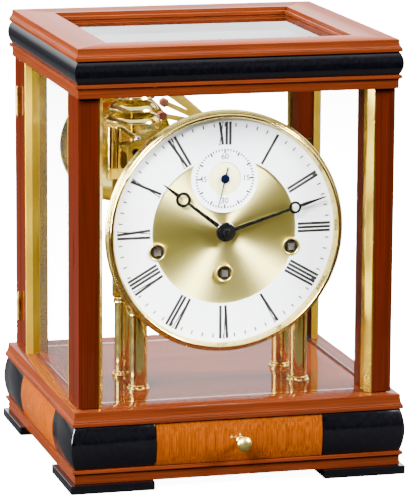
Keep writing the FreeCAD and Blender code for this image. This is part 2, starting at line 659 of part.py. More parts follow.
node(hand("hour", s.hour_hub, s.hour_pipe, s.minute_pipe + s.running_fit, s.hour_stand + s.hand_thick,
          front_plate_y - s.arbor_tail, s.hour_reach, s.hour_eye_at, s.hour_eye_radius, "hour_turn", dial_z),
     "hour_hand")
node(hand("minute", s.minute_hub, s.minute_pipe, None, s.minute_stand + s.hand_thick, front_plate_back,
          s.minute_reach, s.minute_eye_at, s.minute_eye_radius, "minute_turn", dial_z), "minute_hand")
node(hexagon("nut", "Y", (0, y_at(dial_y - s.minute_stand - s.hand_thick - s.nut_high), dial_z),
             s.nut_radius, s.nut_high), "hand_nut")
seconds_hub_y = dial_y - s.seconds_stand - s.hand_thick
seconds_solids = [
    rod("seconds_hub_disc", "Y", (0, 0, 0), s.seconds_hub, s.hand_thick),
    rod("seconds_pipe_rod", "Y", (0, 0, 0), s.seconds_pipe, front_plate_back - seconds_hub_y),
    box("seconds_blade", (-s.hand_thick / 2, s.hand_thick / 2), (0, s.hand_thick),
        (-(s.seconds_tail + s.seconds_hub), s.seconds_reach))]
seconds_piece = fuse("seconds_solid", seconds_solids)
seconds_piece.Placement.Rotation = FreeCAD.Rotation(FreeCAD.Vector(0, 1, 0), SIZES["seconds_turn"])
seconds_piece.setExpression("Placement.Rotation.Angle", "sizes.seconds_turn")
place(seconds_piece, 0, y_at(seconds_hub_y), seconds_z)
node(seconds_piece, "seconds_hand")


# ---- chime bells on their bridge ----
def bell_outline(radius, tall, bore, sign):
    """A domed bell: outer curve from the rim to the bore, then back along the inner curve."""
    wall = s.bell_wall
    outer = ((radius, 0), (radius * 0.985, tall * 0.3), (radius * 0.86, tall * 0.64),
             (radius * 0.55, tall * 0.89), (bore, tall))
    inner = ((bore, tall - wall), (radius * 0.55, tall * 0.89 - wall),
             (radius * 0.86 - wall, tall * 0.6 - wall / 2),
             (radius * 0.985 - wall, tall * 0.3 - wall / 3), (radius - wall, size(0)))
    return [(size(r), sign * size(height)) for r, height in outer + inner]


bridge_top = plate_high + s.bridge_thick
bridge = box("bridge", (-s.bridge_left, s.bridge_right), span(front_plate_y, back_plate_back),
             (plate_high, bridge_top))
rim_z = bridge_top + s.bell_lift
bell_count = 4
spindle_tall = s.bell_lift + bell_count * s.bell_pitch + s.spindle_over
spindle = rod("spindle", "Z", (-s.bell_side, y_at(-s.bell_deep), bridge_top), s.spindle_radius, spindle_tall)
node(group("bell_stand_group", [bridge, spindle]), "bell_stand")
bells = []
pivot_z = bridge_top + s.hammer_pivot_lift
for index in range(bell_count):
    radius = s.bell_radius - index * s.bell_step
    bell_z = rim_z + index * s.bell_pitch
    bells.append(turned(f"bell_{index}", "Z", bell_outline(radius, s.bell_high, s.spindle_radius, 1),
                        (-s.bell_side, y_at(-s.bell_deep), bell_z)))
    hammer_y = -s.hammer_first + index * s.hammer_pitch
    off = hammer_y + s.bell_deep
    head_x = root(radius * radius - off * off) - s.bell_side + s.hammer_away
    head_z = bell_z + s.hammer_rise
    head = hexagon(f"hammer_head_{index}", "Y", (head_x, y_at(hammer_y - s.hammer_head_long / 2), head_z),
                   s.hammer_head, s.hammer_head_long)
    run = s.hammer_pivot_side - head_x
    rise = head_z - pivot_z
    arm = rod(f"hammer_arm_{index}", "Z", (s.hammer_pivot_side, y_at(hammer_y), pivot_z),
              s.hammer_arm, root(run * run + rise * rise))
    arm.Placement.Rotation = FreeCAD.Rotation(FreeCAD.Vector(0, -1, 0), steepness(run, rise).value)
    arm.setExpression("Placement.Rotation.Angle", steepness(run, rise).text)
    hub_at = (s.hammer_pivot_side, y_at(hammer_y - s.hammer_hub_long / 2), pivot_z)
    hub = rod(f"hammer_hub_{index}", "Y", hub_at, s.hammer_hub, s.hammer_hub_long)
    bore = rod(f"hammer_bore_{index}", "Y", hub_at, s.hammer_rod + s.running_fit, s.hammer_hub_long)
    node(cut(f"hammer_{index}", fuse(f"hammer_solid_{index}", [head, arm, hub]), [bore]),
         f"chime_hammer_{index + 1}")
node(group("bells", bells), "chime_bells")
hammer_row = s.hammer_pitch * (bell_count - 1)
frame_front = -s.hammer_first - s.hammer_hub_long
frame_back = -s.hammer_first + hammer_row + s.hammer_hub_long
post_xs = (s.hammer_pivot_side - s.post_half, s.hammer_pivot_side + s.post_half)
post_zs = (bridge_top, pivot_z + s.post_half)
node(fuse("hammer_frame_solid", [
    box("hammer_post_front", post_xs, span(frame_front - s.post_thick, frame_front), post_zs),
    box("hammer_post_back", post_xs, span(frame_back, frame_back + s.post_thick), post_zs),
    rod("hammer_rod_bar", "Y", (s.hammer_pivot_side, y_at(frame_front - s.post_thick), pivot_z), s.hammer_rod,
        frame_back - frame_front + 2 * s.post_thick)]), "hammer_frame")

# ---- hour bell and its hammer behind the movement ----
hour_bell_z = dial_z + s.hour_bell_above
hour_mouth = back_plate_back + s.hour_bell_behind
node(turned("hour_bell_body", "Y", bell_outline(s.hour_bell_radius, s.hour_bell_deep, s.hour_post, 1),
            (-s.hour_bell_side, y_at(hour_mouth), hour_bell_z)), "hour_bell")
strike_x = s.hour_bell_radius + s.strike_gap + s.strike_head_long / 2 - s.hour_bell_side
strike_y = hour_mouth + s.strike_hub_long
pivot_low = hour_bell_z - s.strike_arm_long
node(group("hour_studs", [
    rod("hour_bell_stud", "Y", (-s.hour_bell_side, y_at(back_plate_back), hour_bell_z), s.hour_post,
        s.hour_bell_behind + s.hour_bell_deep),
    rod("hour_hammer_stud", "Y", (strike_x, y_at(back_plate_back), pivot_low), s.strike_stud,
        s.hour_bell_behind + s.strike_hub_long * 2)]), "hour_bell_studs")
strike_solid = fuse("strike_solid", [
    hexagon("strike_head_bar", "X", (strike_x - s.strike_head_long / 2, y_at(strike_y), hour_bell_z),
            s.strike_head, s.strike_head_long),
    rod("strike_arm_rod", "Z", (strike_x, y_at(strike_y), pivot_low), s.strike_arm, s.strike_arm_long),
    rod("strike_hub_disc", "Y", (strike_x, y_at(strike_y - s.strike_hub_long / 2), pivot_low), s.strike_hub,
        s.strike_hub_long)])
strike_bore = rod("strike_bore", "Y", (strike_x, y_at(strike_y - s.strike_hub_long), pivot_low),
                  s.strike_stud + s.running_fit, s.strike_hub_long * 2)
node(cut("strike_cut", strike_solid, [strike_bore]), "hour_hammer")

# ---- check the model and write it ----
doc.recompute()
faults = [item.Label for item in doc.Objects if {"Invalid", "Error"} & set(item.State)]
for label, item in nodes.items():
    if item.Shape.isNull() or not item.Shape.isValid():
        faults.append(label)
if faults:
    raise SystemExit(f"not built: {faults}")
for label, item in nodes.items():
    item.Shape.exportStep(f"parts/{label}.step")
print(len(nodes), "sub-parts written")
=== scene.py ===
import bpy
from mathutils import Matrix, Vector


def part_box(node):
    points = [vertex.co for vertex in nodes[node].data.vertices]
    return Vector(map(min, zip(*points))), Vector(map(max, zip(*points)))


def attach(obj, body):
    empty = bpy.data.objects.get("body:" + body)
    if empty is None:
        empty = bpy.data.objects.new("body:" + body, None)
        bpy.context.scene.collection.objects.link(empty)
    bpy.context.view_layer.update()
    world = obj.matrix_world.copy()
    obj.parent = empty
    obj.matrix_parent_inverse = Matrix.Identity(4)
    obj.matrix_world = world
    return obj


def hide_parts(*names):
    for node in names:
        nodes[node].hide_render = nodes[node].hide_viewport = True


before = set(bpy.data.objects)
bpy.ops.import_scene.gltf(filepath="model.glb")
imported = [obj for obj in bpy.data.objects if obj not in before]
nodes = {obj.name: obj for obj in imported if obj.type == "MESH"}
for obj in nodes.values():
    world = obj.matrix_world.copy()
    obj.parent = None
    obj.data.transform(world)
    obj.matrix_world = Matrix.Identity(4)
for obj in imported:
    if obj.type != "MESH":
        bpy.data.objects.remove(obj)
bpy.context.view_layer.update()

import math

import bmesh
import bpy
from mathutils import Matrix, Vector

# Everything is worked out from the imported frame. Lengths below are in millimetres until make() turns
# them into metres; X runs across the clock, Y to its back and Z up.
MM = 0.001


# ---- places taken from the frame
def corners(name):
    """Lowest and highest corner of a CAD node, in millimetres."""
    low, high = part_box(name)
    return low / MM, high / MM


def middle(name):
    """Middle of a CAD node, in millimetres."""
    low, high = corners(name)
    return (low + high) / 2


def linked(name, data):
    """A new object, put in the scene."""
    item = bpy.data.objects.new(name, data)
    bpy.context.scene.collection.objects.link(item)
    return item


def kept_mesh(item):
    """The mesh an object comes out as. The object itself is removed."""
    bpy.context.view_layer.update()
    mesh = bpy.data.meshes.new_from_object(item.evaluated_get(bpy.context.evaluated_depsgraph_get()))
    bpy.data.objects.remove(item)
    return mesh


dial = middle("bezel")
dial_face = corners("chapter_ring")[1].y  # front of the dial plate, where the ring lies
ring_face = corners("chapter_ring")[0].y
seconds = middle("seconds_dial")
seconds_face = corners("seconds_dial")[0].y
centre_y = middle("base_board").y
BAND_OUT = 2.7  # how far the black band swells past its edge
LIP_OUT = 1.9  # how far each moulding's lip stands past its edge


# ---- small tools
def sin_of(degrees):
    return math.sin(math.radians(degrees))


def cos_of(degrees):
    return math.cos(math.radians(degrees))


def linear(code):
    """An sRGB hex colour as the linear colour that a shader wants."""
    parts = [int(code[i:i + 2], 16) / 255 for i in (1, 3, 5)]
    return tuple(c / 12.92 if c <= 0.04045 else ((c + 0.055) / 1.055) ** 2.4 for c in parts) + (1.0,)


def add(tree, kind, settings=None, inputs=None):
    """Add one node, with its settings and with values or links for its inputs."""
    made = tree.nodes.new(kind)
    for name, value in (settings or {}).items():
        setattr(made, name, value)
    for name, value in (inputs or {}).items():
        if isinstance(value, bpy.types.NodeSocket):
            tree.links.new(value, made.inputs[name])
        else:
            made.inputs[name].default_value = value
    return made


def ramp(tree, factor, stops):
    """A colour ramp through (position, hex colour) stops."""
    made = add(tree, "ShaderNodeValToRGB", inputs={"Fac": factor})
    band = made.color_ramp
    while len(band.elements) < len(stops):
        band.elements.new(0.5)
    for element, (position, code) in zip(band.elements, stops):
        element.position = position
        element.color = linear(code)
    return made.outputs["Color"]


def new_material(name):
    """An empty material; returns it with its tree, its surface socket and the place on the object."""
    material = bpy.data.materials.new(name)
    material.use_nodes = True
    tree = material.node_tree
    tree.nodes.clear()
    output = add(tree, "ShaderNodeOutputMaterial")
    place = add(tree, "ShaderNodeTexCoord").outputs["Object"]
    return material, tree, output.inputs["Surface"], place


def grainy(tree, vector, size_mm, detail=3.0, distortion=0.0):
    """Noise whose features measure size_mm along X, Y and Z."""
    scale = [1 / (millimetres * MM) for millimetres in size_mm]
    mapped = add(tree, "ShaderNodeMapping", inputs={"Vector": vector, "Scale": scale})
    noise = add(tree, "ShaderNodeTexNoise", inputs={
        "Vector": mapped.outputs["Vector"], "Scale": 1.0, "Detail": detail, "Distortion": distortion})
    return noise.outputs["Fac"]


def spread(tree, noise, low, high):
    """Carry noise, most of which lies between 0.3 and 0.7, over low to high."""
    made = add(tree, "ShaderNodeMapRange", inputs={
        "Value": noise, "From Min": 0.3, "From Max": 0.7, "To Min": low, "To Max": high})
    return made.outputs["Result"]


# ---- materials
def cherry(name, stops, grain, on_uv=False, coat=0.35, figured=0.3):
    """Cherry under rubbed lacquer: fine straight streaks about a millimetre wide, a slow darker figure,
    short pores, and a clear coat that gives it a wet shine. grain is the index of the axis it follows, and
    figured is the figure's share of the tone."""
    material, tree, socket, place = new_material(name)
    if on_uv:
        place = add(tree, "ShaderNodeTexCoord").outputs["UV"]

    def stretched(across, along):
        return [along if axis == grain else across for axis in range(3)]

    streaks = grainy(tree, place, stretched(0.8, 60), detail=4)
    figure = grainy(tree, place, stretched(16, 220), detail=2, distortion=0.4)
    pores = grainy(tree, place, stretched(0.5, 5), detail=1)
    mixed = add(tree, "ShaderNodeMix", {"data_type": "FLOAT"},
                {"Factor": figured, "A": streaks, "B": figure}).outputs["Result"]
    tone = ramp(tree, mixed, stops)
    pore_mask = add(tree, "ShaderNodeMapRange", inputs={
        "Value": pores, "From Min": 0.62, "From Max": 0.72, "To Min": 0.0, "To Max": 0.3})
    colour = add(tree, "ShaderNodeMix", {"data_type": "RGBA"}, {
        "Factor": pore_mask.outputs["Result"], "A": tone, "B": linear(stops[0][1])})
    shader = add(tree, "ShaderNodeBsdfPrincipled", inputs={
        "Base Color": colour.outputs["Result"], "Roughness": spread(tree, figure, 0.24, 0.36), "IOR": 1.5,
        "Specular IOR Level": 0.0, "Normal": add(tree, "ShaderNodeBump", inputs={
            "Height": streaks, "Distance": 0.02 * MM, "Strength": 0.2}).outputs["Normal"],
        "Coat Weight": coat, "Coat Roughness": 0.05, "Coat IOR": 1.5})
    tree.links.new(shader.outputs["BSDF"], socket)
    return material


def brass(name, code, roughness, worn, haze_mm=9.0):
    """Polished and lacquered yellow brass: a bright warm mirror whose polish varies a little, with faint
    hairlines that catch the light."""
    material, tree, socket, place = new_material(name)
    haze = grainy(tree, place, (haze_mm,) * 3, detail=2)
    hairs = grainy(tree, place, (0.8, 0.8, 30), detail=2)
    colour = ramp(tree, haze, ((0.3, worn), (0.7, code)))
    shader = add(tree, "ShaderNodeBsdfPrincipled", inputs={
        "Base Color": colour, "Metallic": 1.0, "Roughness": spread(tree, haze, roughness, roughness + 0.07),
        "Normal": add(tree, "ShaderNodeBump", inputs={
            "Height": hairs, "Distance": 0.004 * MM, "Strength": 0.15}).outputs["Normal"]})
    tree.links.new(shader.outputs["BSDF"], socket)
    return material


def spun_gold(name, centre, code, dark):
    """Brass plate turned and brushed in circles, then gilt: light gathers in two bright fans that cross
    the disc, over rings about half a millimetre apart. Real rings are finer, so they are drawn coarser."""
    material, tree, socket, place = new_material(name)
    from_centre = add(tree, "ShaderNodeVectorMath", {"operation": "SUBTRACT"}, {
        0: place, 1: Vector((centre.x, dial_face, centre.z)) * MM})
    flat = add(tree, "ShaderNodeVectorMath", {"operation": "MULTIPLY"}, {
        0: from_centre.outputs["Vector"], 1: (1, 0, 1)}).outputs["Vector"]
    length = add(tree, "ShaderNodeVectorMath", {"operation": "LENGTH"}, {0: flat})
    outward = add(tree, "ShaderNodeVectorMath", {"operation": "NORMALIZE"}, {0: flat})
    radius = add(tree, "ShaderNodeCombineXYZ", inputs={"X": length.outputs["Value"]})
    rings = grainy(tree, radius.outputs["Vector"], (0.5, 1, 1), detail=3)
    colour = ramp(tree, rings, ((0.3, dark), (0.7, code)))
    shader = add(tree, "ShaderNodeBsdfPrincipled", inputs={
        "Base Color": colour, "Metallic": 1.0, "Roughness": spread(tree, rings, 0.42, 0.49),
        "Anisotropic": 0.95, "Tangent": outward.outputs["Vector"],
        "Normal": add(tree, "ShaderNodeBump", inputs={
            "Height": rings, "Distance": 0.012 * MM, "Strength": 0.3}).outputs["Normal"]})
    tree.links.new(shader.outputs["BSDF"], socket)
    return material


def lacquer(name, code, lift, roughness, coat, grain_mm=1.2):
    """Painted wood or metal: an even colour with a slightly uneven film that softens its reflections."""
    material, tree, socket, place = new_material(name)
    film = grainy(tree, place, (grain_mm, grain_mm, grain_mm * 3), detail=3)
    colour = ramp(tree, film, ((0.3, code), (0.7, lift)))
    shader = add(tree, "ShaderNodeBsdfPrincipled", inputs={
        "Base Color": colour, "Roughness": spread(tree, film, roughness, roughness + 0.08), "IOR": 1.5,
        "Normal": add(tree, "ShaderNodeBump", inputs={
            "Height": film, "Distance": 0.01 * MM, "Strength": 0.2}).outputs["Normal"],
        "Coat Weight": coat, "Coat Roughness": 0.12})
    tree.links.new(shader.outputs["BSDF"], socket)
    return material


def steel(name, code, worn, roughness):
    """Turned and polished steel: a neutral mirror with fine lines round it."""
    material, tree, socket, place = new_material(name)
    lines = grainy(tree, place, (6, 0.5, 6), detail=2)
    shader = add(tree, "ShaderNodeBsdfPrincipled", inputs={
        "Base Color": ramp(tree, lines, ((0.3, worn), (0.7, code))), "Metallic": 1.0,
        "Roughness": spread(tree, lines, roughness, roughness + 0.1),
        "Normal": add(tree, "ShaderNodeBump", inputs={
            "Height": lines, "Distance": 0.01 * MM, "Strength": 0.2}).outputs["Normal"]})
    tree.links.new(shader.outputs["BSDF"], socket)
    return material


def clear_glass(name):
    """Thin float glass: nearly unseen face on and a mirror at a glancing angle, with a faint uneven film
    that dims the mirror in places a hand's width across."""
    material, tree, socket, place = new_material(name)
    film = grainy(tree, place, (70, 70, 70), detail=2)
    glancing = add(tree, "ShaderNodeLayerWeight", inputs={"Blend": 0.5}).outputs["Facing"]
    steep = add(tree, "ShaderNodeMath", {"operation": "POWER"}, {0: glancing, 1: 5.0})
    mirror = add(tree, "ShaderNodeMapRange", inputs={
        "Value": steep.outputs["Value"], "To Min": 0.04, "To Max": 1.0})
    alpha = add(tree, "ShaderNodeMath", {"operation": "MULTIPLY"}, {
        0: mirror.outputs["Result"], 1: spread(tree, film, 0.85, 1.0)})
    shader = add(tree, "ShaderNodeBsdfPrincipled", inputs={
        "Base Color": ramp(tree, film, ((0.3, "#eef5f3"), (0.7, "#f7fbfa"))), "Metallic": 1.0,
        "Roughness": 0.02, "Alpha": alpha.outputs["Value"]})
    tree.links.new(shader.outputs["BSDF"], socket)
    return material


POST_CHERRY = ((0.30, "#1b0501"), (0.50, "#250701"), (0.70, "#300902"))
FACE_CHERRY = ((0.30, "#280c03"), (0.50, "#361305"), (0.70, "#461907"))
VENEER = ((0.30, "#3c1601"), (0.50, "#4c2001"), (0.70, "#5e2a03"))
cherry_upright = cherry("lacquered_cherry_upright", POST_CHERRY, 2)
cherry_across = cherry("lacquered_cherry_board", FACE_CHERRY, 0)
cherry_moulding = cherry("lacquered_cherry_moulding", FACE_CHERRY, 0, on_uv=True)
cherry_veneer = cherry("upright_cherry_veneer", VENEER, 2, figured=0.1)
beech = cherry("waxed_beech_drawer_lining", ((0.3, "#6e4520"), (0.5, "#855629"), (0.7, "#9a6838")), 0, coat=0.1)
bright_brass = brass("polished_brass", "#f8e07c", 0.08, "#eccf68")
trim_brass = brass("drawn_brass_strip", "#f0ca34", 0.32, "#e4bc2c", haze_mm=30)
plate_brass = brass("polished_brass_plate", "#d8be66", 0.16, "#ccb05a", haze_mm=60)
bell_brass = brass("turned_bell_brass", "#faec92", 0.12, "#eedc7c", haze_mm=25)
strip_brass = brass("drawn_brass_door_strip", "#f4d048", 0.19, "#e8c23c", haze_mm=30)
knob_brass = brass("turned_knob_brass", "#f8e07c", 0.2, "#eccf68")
bezel_brass = brass("polished_bezel_brass", "#f2de86", 0.15, "#dec66c", haze_mm=20)
hinge_brass = brass("dulled_hinge_brass", "#a8803a", 0.34, "#80602a")
satin_brass = brass("satin_brass", "#fae680", 0.28, "#eed66c")
gilt_dial = spun_gold("spun_gilt_dial_centre", dial, "#f8ec94", "#e6d980")
gilt_seconds = lacquer("pale_gold_seconds_centre", "#ebe0a2", "#f2e9b6", 0.35, 0.2, grain_mm=2.0)
black_wood = lacquer("satin_black_lacquered_wood", "#010102", "#030305", 0.08, 0.0)
white_enamel = lacquer("white_printed_dial_enamel", "#eef3fa", "#f5f9ff", 0.34, 0.25, grain_mm=2.5)
black_ink = lacquer("black_dial_ink", "#020203", "#050506", 0.45, 0.0)
grey_ink = lacquer("grey_dial_ink", "#26282c", "#33363b", 0.5, 0.0)
black_hand = lacquer("black_enamelled_hand", "#010102", "#040405", 0.25, 0.4)
# black sleeves set inside the winding holes are painted shade, standing in for the holes' dark insides
hole_shade_black = lacquer("painted_shade_hole_lining", "#010101", "#020202", 0.7, 0.0)
blued_steel = steel("blued_steel", "#1b2a58", "#0c1433", 0.25)
bright_steel = steel("polished_steel", "#c9ccd0", "#9fa3a8", 0.18)
dark_steel = steel("oiled_steel_arbor", "#b8b2aa", "#8c8680", 0.3)
glass = clear_glass("clear_float_glass")
hammer_leather = lacquer("tanned_leather_hammer_face", "#4a1802", "#5e2406", 0.6, 0.0, grain_mm=0.9)


# ---- mesh tools
def finish_piece(piece, body, covers, angle=32):
    """Shade a finished piece and join it to its body and the nodes it stands for."""
    for polygon in piece.data.polygons:
        polygon.use_smooth = True
    piece.data.set_sharp_from_angle(angle=math.radians(angle))
    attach(piece, body)
    if covers:
        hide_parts(*covers)
    return piece


def make(name, shells, materials, body, covers=(), angle=32):
    """One piece from closed shells, each (points in mm, faces, material index, uv per face or None)."""
    mesh = bpy.data.meshes.new(name)
    points, faces, indices, uvs = [], [], [], []
    for shell_points, shell_faces, index, shell_uvs in shells:
        start = len(points)
        points += [Vector(point) * MM for point in shell_points]
        faces += [[start + corner for corner in face] for face in shell_faces]
        indices += [index] * len(shell_faces)
        uvs += shell_uvs or [[(0, 0)] * len(face) for face in shell_faces]
    mesh.from_pydata(points, [], faces)
    layer = mesh.uv_layers.new(name="UVMap")
    for polygon, index, corner_uvs in zip(mesh.polygons, indices, uvs):
        polygon.material_index = index
        for loop, uv in zip(polygon.loop_indices, corner_uvs):
            layer.data[loop].uv = (uv[0] * MM, uv[1] * MM)
    work = bmesh.new()
    work.from_mesh(mesh)
    bmesh.ops.remove_doubles(work, verts=work.verts, dist=1e-7)
    bmesh.ops.recalc_face_normals(work, faces=work.faces)
    work.to_mesh(mesh)
    work.free()
    for material in materials:
        mesh.materials.append(material)
    return finish_piece(linked(name, mesh), body, covers, angle)


def eased(outline, radius, steps=4):
    """A closed outline with each corner rounded by at most radius."""
    points = [Vector(point) for point in outline]
    result = []
    for index, corner in enumerate(points):
        before, after = points[index - 1], points[(index + 1) % len(points)]
        into, out = before - corner, after - corner
        into_share = min(radius / into.length, 0.45)
        out_share = min(radius / out.length, 0.45)
        for step in range(steps + 1):
            part = step / steps
            start, end = corner + into * into_share, corner + out * out_share
            result.append(start.lerp(corner, part).lerp(corner.lerp(end, part), part))
    return [tuple(point) for point in result]


def turned(outline, axis, at, segments=96, index=0, closed=True):
    """A lathe shell: (radius, height) pairs spun about the Y or Z axis through a point."""
    points, faces = [], []
    count = len(outline)
    for step in range(segments):
        turn = 2 * math.pi * step / segments
        across, over = math.cos(turn), math.sin(turn)
        for radius, height in outline:
            offset = (radius * across, height, radius * over) if axis == "Y" else (
                radius * across, radius * over, height)
            points.append(Vector(at) + Vector(offset))
    for step in range(segments):
        after = (step + 1) % segments
        for item in range(count if closed else count - 1):
            item_after = (item + 1) % count
            quad = [step * count + item, after * count + item,
                    after * count + item_after, step * count + item_after]
            if outline[item][0] < 1e-6:
                quad.pop(1)
            elif outline[item_after][0] < 1e-6:
                quad.pop(2)
            if outline[item][0] < 1e-6 and outline[item_after][0] < 1e-6:
                continue
            faces.append(quad)
    return points, faces, index, None


def block(low, high, index=0):
    """A box shell between two corners."""
    points = [(x, y, z) for x in (low[0], high[0]) for y in (low[1], high[1]) for z in (low[2], high[2])]
    faces = [(0, 1, 3, 2), (4, 6, 7, 5), (0, 4, 5, 1), (2, 3, 7, 6), (0, 2, 6, 4), (1, 5, 7, 3)]
    return points, faces, index, None


def prism(near, far, index=0):
    """A closed shell between two rings of as many points each."""
    count = len(near)
    faces = [tuple(range(count)), tuple(range(2 * count - 1, count - 1, -1))]
    faces += [(i, (i + 1) % count, count + (i + 1) % count, count + i) for i in range(count)]
    return near + far, faces, index, None


def flat_shape(outline, front, thick, index=0, turn=0.0, centre=(0, 0)):
    """A plate in the XZ plane: an outline turned clockwise by turn degrees about a centre."""
    angle = math.radians(turn)
    spun = [(centre[0] + x * math.cos(angle) + z * math.sin(angle),
             centre[1] - x * math.sin(angle) + z * math.cos(angle)) for x, z in outline]
    return prism([(x, front, z) for x, z in spun], [(x, front + thick, z) for x, z in spun], index)


def strip_between(start, end, wide_start, wide_end):
    """The outline of a straight stroke in the XZ plane."""
    along = (Vector(end) - Vector(start)).normalized()
    side = Vector((along.y, -along.x))
    return [tuple(Vector(start) + side * wide_start / 2), tuple(Vector(end) + side * wide_end / 2),
            tuple(Vector(end) - side * wide_end / 2), tuple(Vector(start) - side * wide_start / 2)]


def rod_between(start, end, radius, index=0, segments=24):
    """A round bar with slightly eased ends between two points."""
    start, end = Vector(start), Vector(end)
    length = (end - start).length
    ease = min(radius * 0.3, 0.4)
    outline = [(0, 0), (radius - ease, 0), (radius, ease), (radius, length - ease), (radius - ease, length),
               (0, length)]
    points, faces, index, _ = turned(outline, "Z", (0, 0, 0), segments, index, closed=False)
    turn = Vector((0, 0, 1)).rotation_difference(end - start).to_matrix()
    return [turn @ point + start for point in points], faces, index, None


MITRE_GAP = 0.03
GRAIN_SHIFT = 331  # sets each rail's grain apart from the last one's


def mitred_rails(profile, half_x, half_y, low, rims):
    """Four rails round the case, mitred at the corners. profile is a closed (outward, up) outline, whose
    inner edge is carried in to rims, the rails' width at the sides and at the front and back. The grain's
    UV runs along each rail."""
    inner = -min(out for out, up in profile)

    def reach(out, rim):
        return out if out > 0 else out / inner * rim

    lengths = [0.0]
    for first, second in zip(profile, profile[1:] + profile[:1]):
        lengths.append(lengths[-1] + (Vector(second) - Vector(first)).length)
    shells = []
    for rail in range(4):
        across = half_x if rail % 2 == 0 else half_y
        deep = half_y if rail % 2 == 0 else half_x
        beside, own = rims if rail % 2 == 0 else rims[::-1]
        turn = Matrix.Rotation(math.pi / 2 * rail, 3, "Z")
        points, faces, uvs = [], [], []
        for end in (-1, 1):
            for out, up in profile:
                corner = Vector((end * (across + reach(out, beside) - MITRE_GAP), -(deep + reach(out, own)), 0))
                points.append(turn @ corner + Vector((0, centre_y, low + up)))
        count = len(profile)
        for i in range(count):
            j = (i + 1) % count
            faces.append((i, j, count + j, count + i))
            start, far = rail * GRAIN_SHIFT - across, rail * GRAIN_SHIFT + across
            uvs.append([(start - profile[i][0], lengths[i]), (start - profile[j][0], lengths[i + 1]),
                        (far + profile[j][0], lengths[i + 1]), (far + profile[i][0], lengths[i])])
        for ring in (tuple(range(count)), tuple(range(2 * count - 1, count - 1, -1))):
            faces.append(ring)
            uvs.append([(rail * GRAIN_SHIFT, 0)] * count)
        shells.append((points, faces, 0, uvs))
    return shells


# ---- repeats made by geometry nodes
def geometry_group(name, sockets):
    """A geometry node group and its inputs."""
    tree = bpy.data.node_groups.new(name, "GeometryNodeTree")
    tree.interface.new_socket("Geometry", in_out="OUTPUT", socket_type="NodeSocketGeometry")
    for label, kind in sockets:
        tree.interface.new_socket(label, in_out="INPUT", socket_type=f"NodeSocket{kind}")
    return tree, add(tree, "NodeGroupInput").outputs


def end_group(tree, instances, material):
    """Make a group's instances real and give them their material."""
    real = add(tree, "GeometryNodeRealizeInstances", inputs={"Geometry": instances})
    finished = add(tree, "GeometryNodeSetMaterial", inputs={
        "Geometry": real.outputs["Geometry"], "Material": material})
    add(tree, "NodeGroupOutput", inputs={"Geometry": finished.outputs["Geometry"]})
    return tree


def ring_tree():
    """Bars set round a circle, each pointing away from its middle: ticks, milling and teeth."""
    tree, given = geometry_group("ring_of_bars", (
        ("Count", "Int"), ("Radius", "Float"), ("Bar", "Vector"), ("Centre", "Vector"),
        ("Material", "Material")))
    circle = add(tree, "GeometryNodeMeshCircle", inputs={"Vertices": given["Count"], "Radius": given["Radius"]})
    bar = add(tree, "GeometryNodeMeshCube", inputs={"Size": given["Bar"]})
    where = add(tree, "ShaderNodeSeparateXYZ", inputs={
        "Vector": add(tree, "GeometryNodeInputPosition").outputs["Position"]}).outputs
    angle = add(tree, "ShaderNodeMath", {"operation": "ARCTAN2"}, {0: where["Y"], 1: where["X"]})
    facing = add(tree, "ShaderNodeCombineXYZ", inputs={"Z": angle.outputs["Value"]})
    placed = add(tree, "GeometryNodeInstanceOnPoints", inputs={
        "Points": circle.outputs["Mesh"], "Instance": bar.outputs["Mesh"],
        "Rotation": facing.outputs["Vector"]})
    stood = add(tree, "GeometryNodeTransform", inputs={
        "Geometry": placed.outputs["Instances"], "Rotation": (math.pi / 2, 0, 0),
        "Translation": given["Centre"]})
    return end_group(tree, stood.outputs["Geometry"], given["Material"])


def screw_tree():
    """Slotted screw heads on every point of a mesh, facing along Y, each slot at an angle of its own."""
    tree, given = geometry_group("slotted_screws", (
        ("Places", "Geometry"), ("Radius", "Float"), ("Height", "Float"), ("Slot", "Vector"),
        ("Material", "Material")))
    head = add(tree, "GeometryNodeMeshCylinder", inputs={
        "Vertices": 28, "Radius": given["Radius"], "Depth": given["Height"]})
    half = add(tree, "ShaderNodeMath", {"operation": "MULTIPLY"}, {0: given["Height"], 1: 0.5})
    lift = add(tree, "ShaderNodeCombineXYZ", inputs={"Z": half.outputs["Value"]})
    slot = add(tree, "GeometryNodeTransform", inputs={
        "Geometry": add(tree, "GeometryNodeMeshCube", inputs={"Size": given["Slot"]}).outputs["Mesh"],
        "Translation": lift.outputs["Vector"]})
    slotted = add(tree, "GeometryNodeMeshBoolean", {"operation": "DIFFERENCE", "solver": "EXACT"}, {
        "Mesh 1": head.outputs["Mesh"], "Mesh 2": slot.outputs["Geometry"]})
    seed = add(tree, "FunctionNodeRandomValue", inputs={"Seed": 7})
    turn = add(tree, "ShaderNodeMath", {"operation": "MULTIPLY"}, {0: seed.outputs[1], 1: math.pi})
    spin = add(tree, "ShaderNodeCombineXYZ", inputs={"X": math.pi / 2, "Y": turn.outputs["Value"]})
    placed = add(tree, "GeometryNodeInstanceOnPoints", inputs={
        "Points": given["Places"], "Instance": slotted.outputs["Mesh"], "Rotation": spin.outputs["Vector"]})
    return end_group(tree, placed.outputs["Instances"], given["Material"])


def grown(name, points, tree, inputs, body):
    """Run a geometry tree on points given in mm, and keep the result as a plain mesh."""
    mesh = bpy.data.meshes.new(f"{name}_seed")
    mesh.from_pydata([Vector(point) * MM for point in points], [], [])
    seed = linked(f"{name}_seed", mesh)
    modifier = seed.modifiers.new("grow", "NODES")
    modifier.node_group = tree
    sockets = {item.name: item.identifier for item in tree.interface.items_tree if item.in_out == "INPUT"}
    for label, value in inputs.items():
        modifier[sockets[label]] = value
    return finish_piece(linked(name, kept_mesh(seed)), body, ())


RING_OF_BARS = ring_tree()
SCREWS = screw_tree()


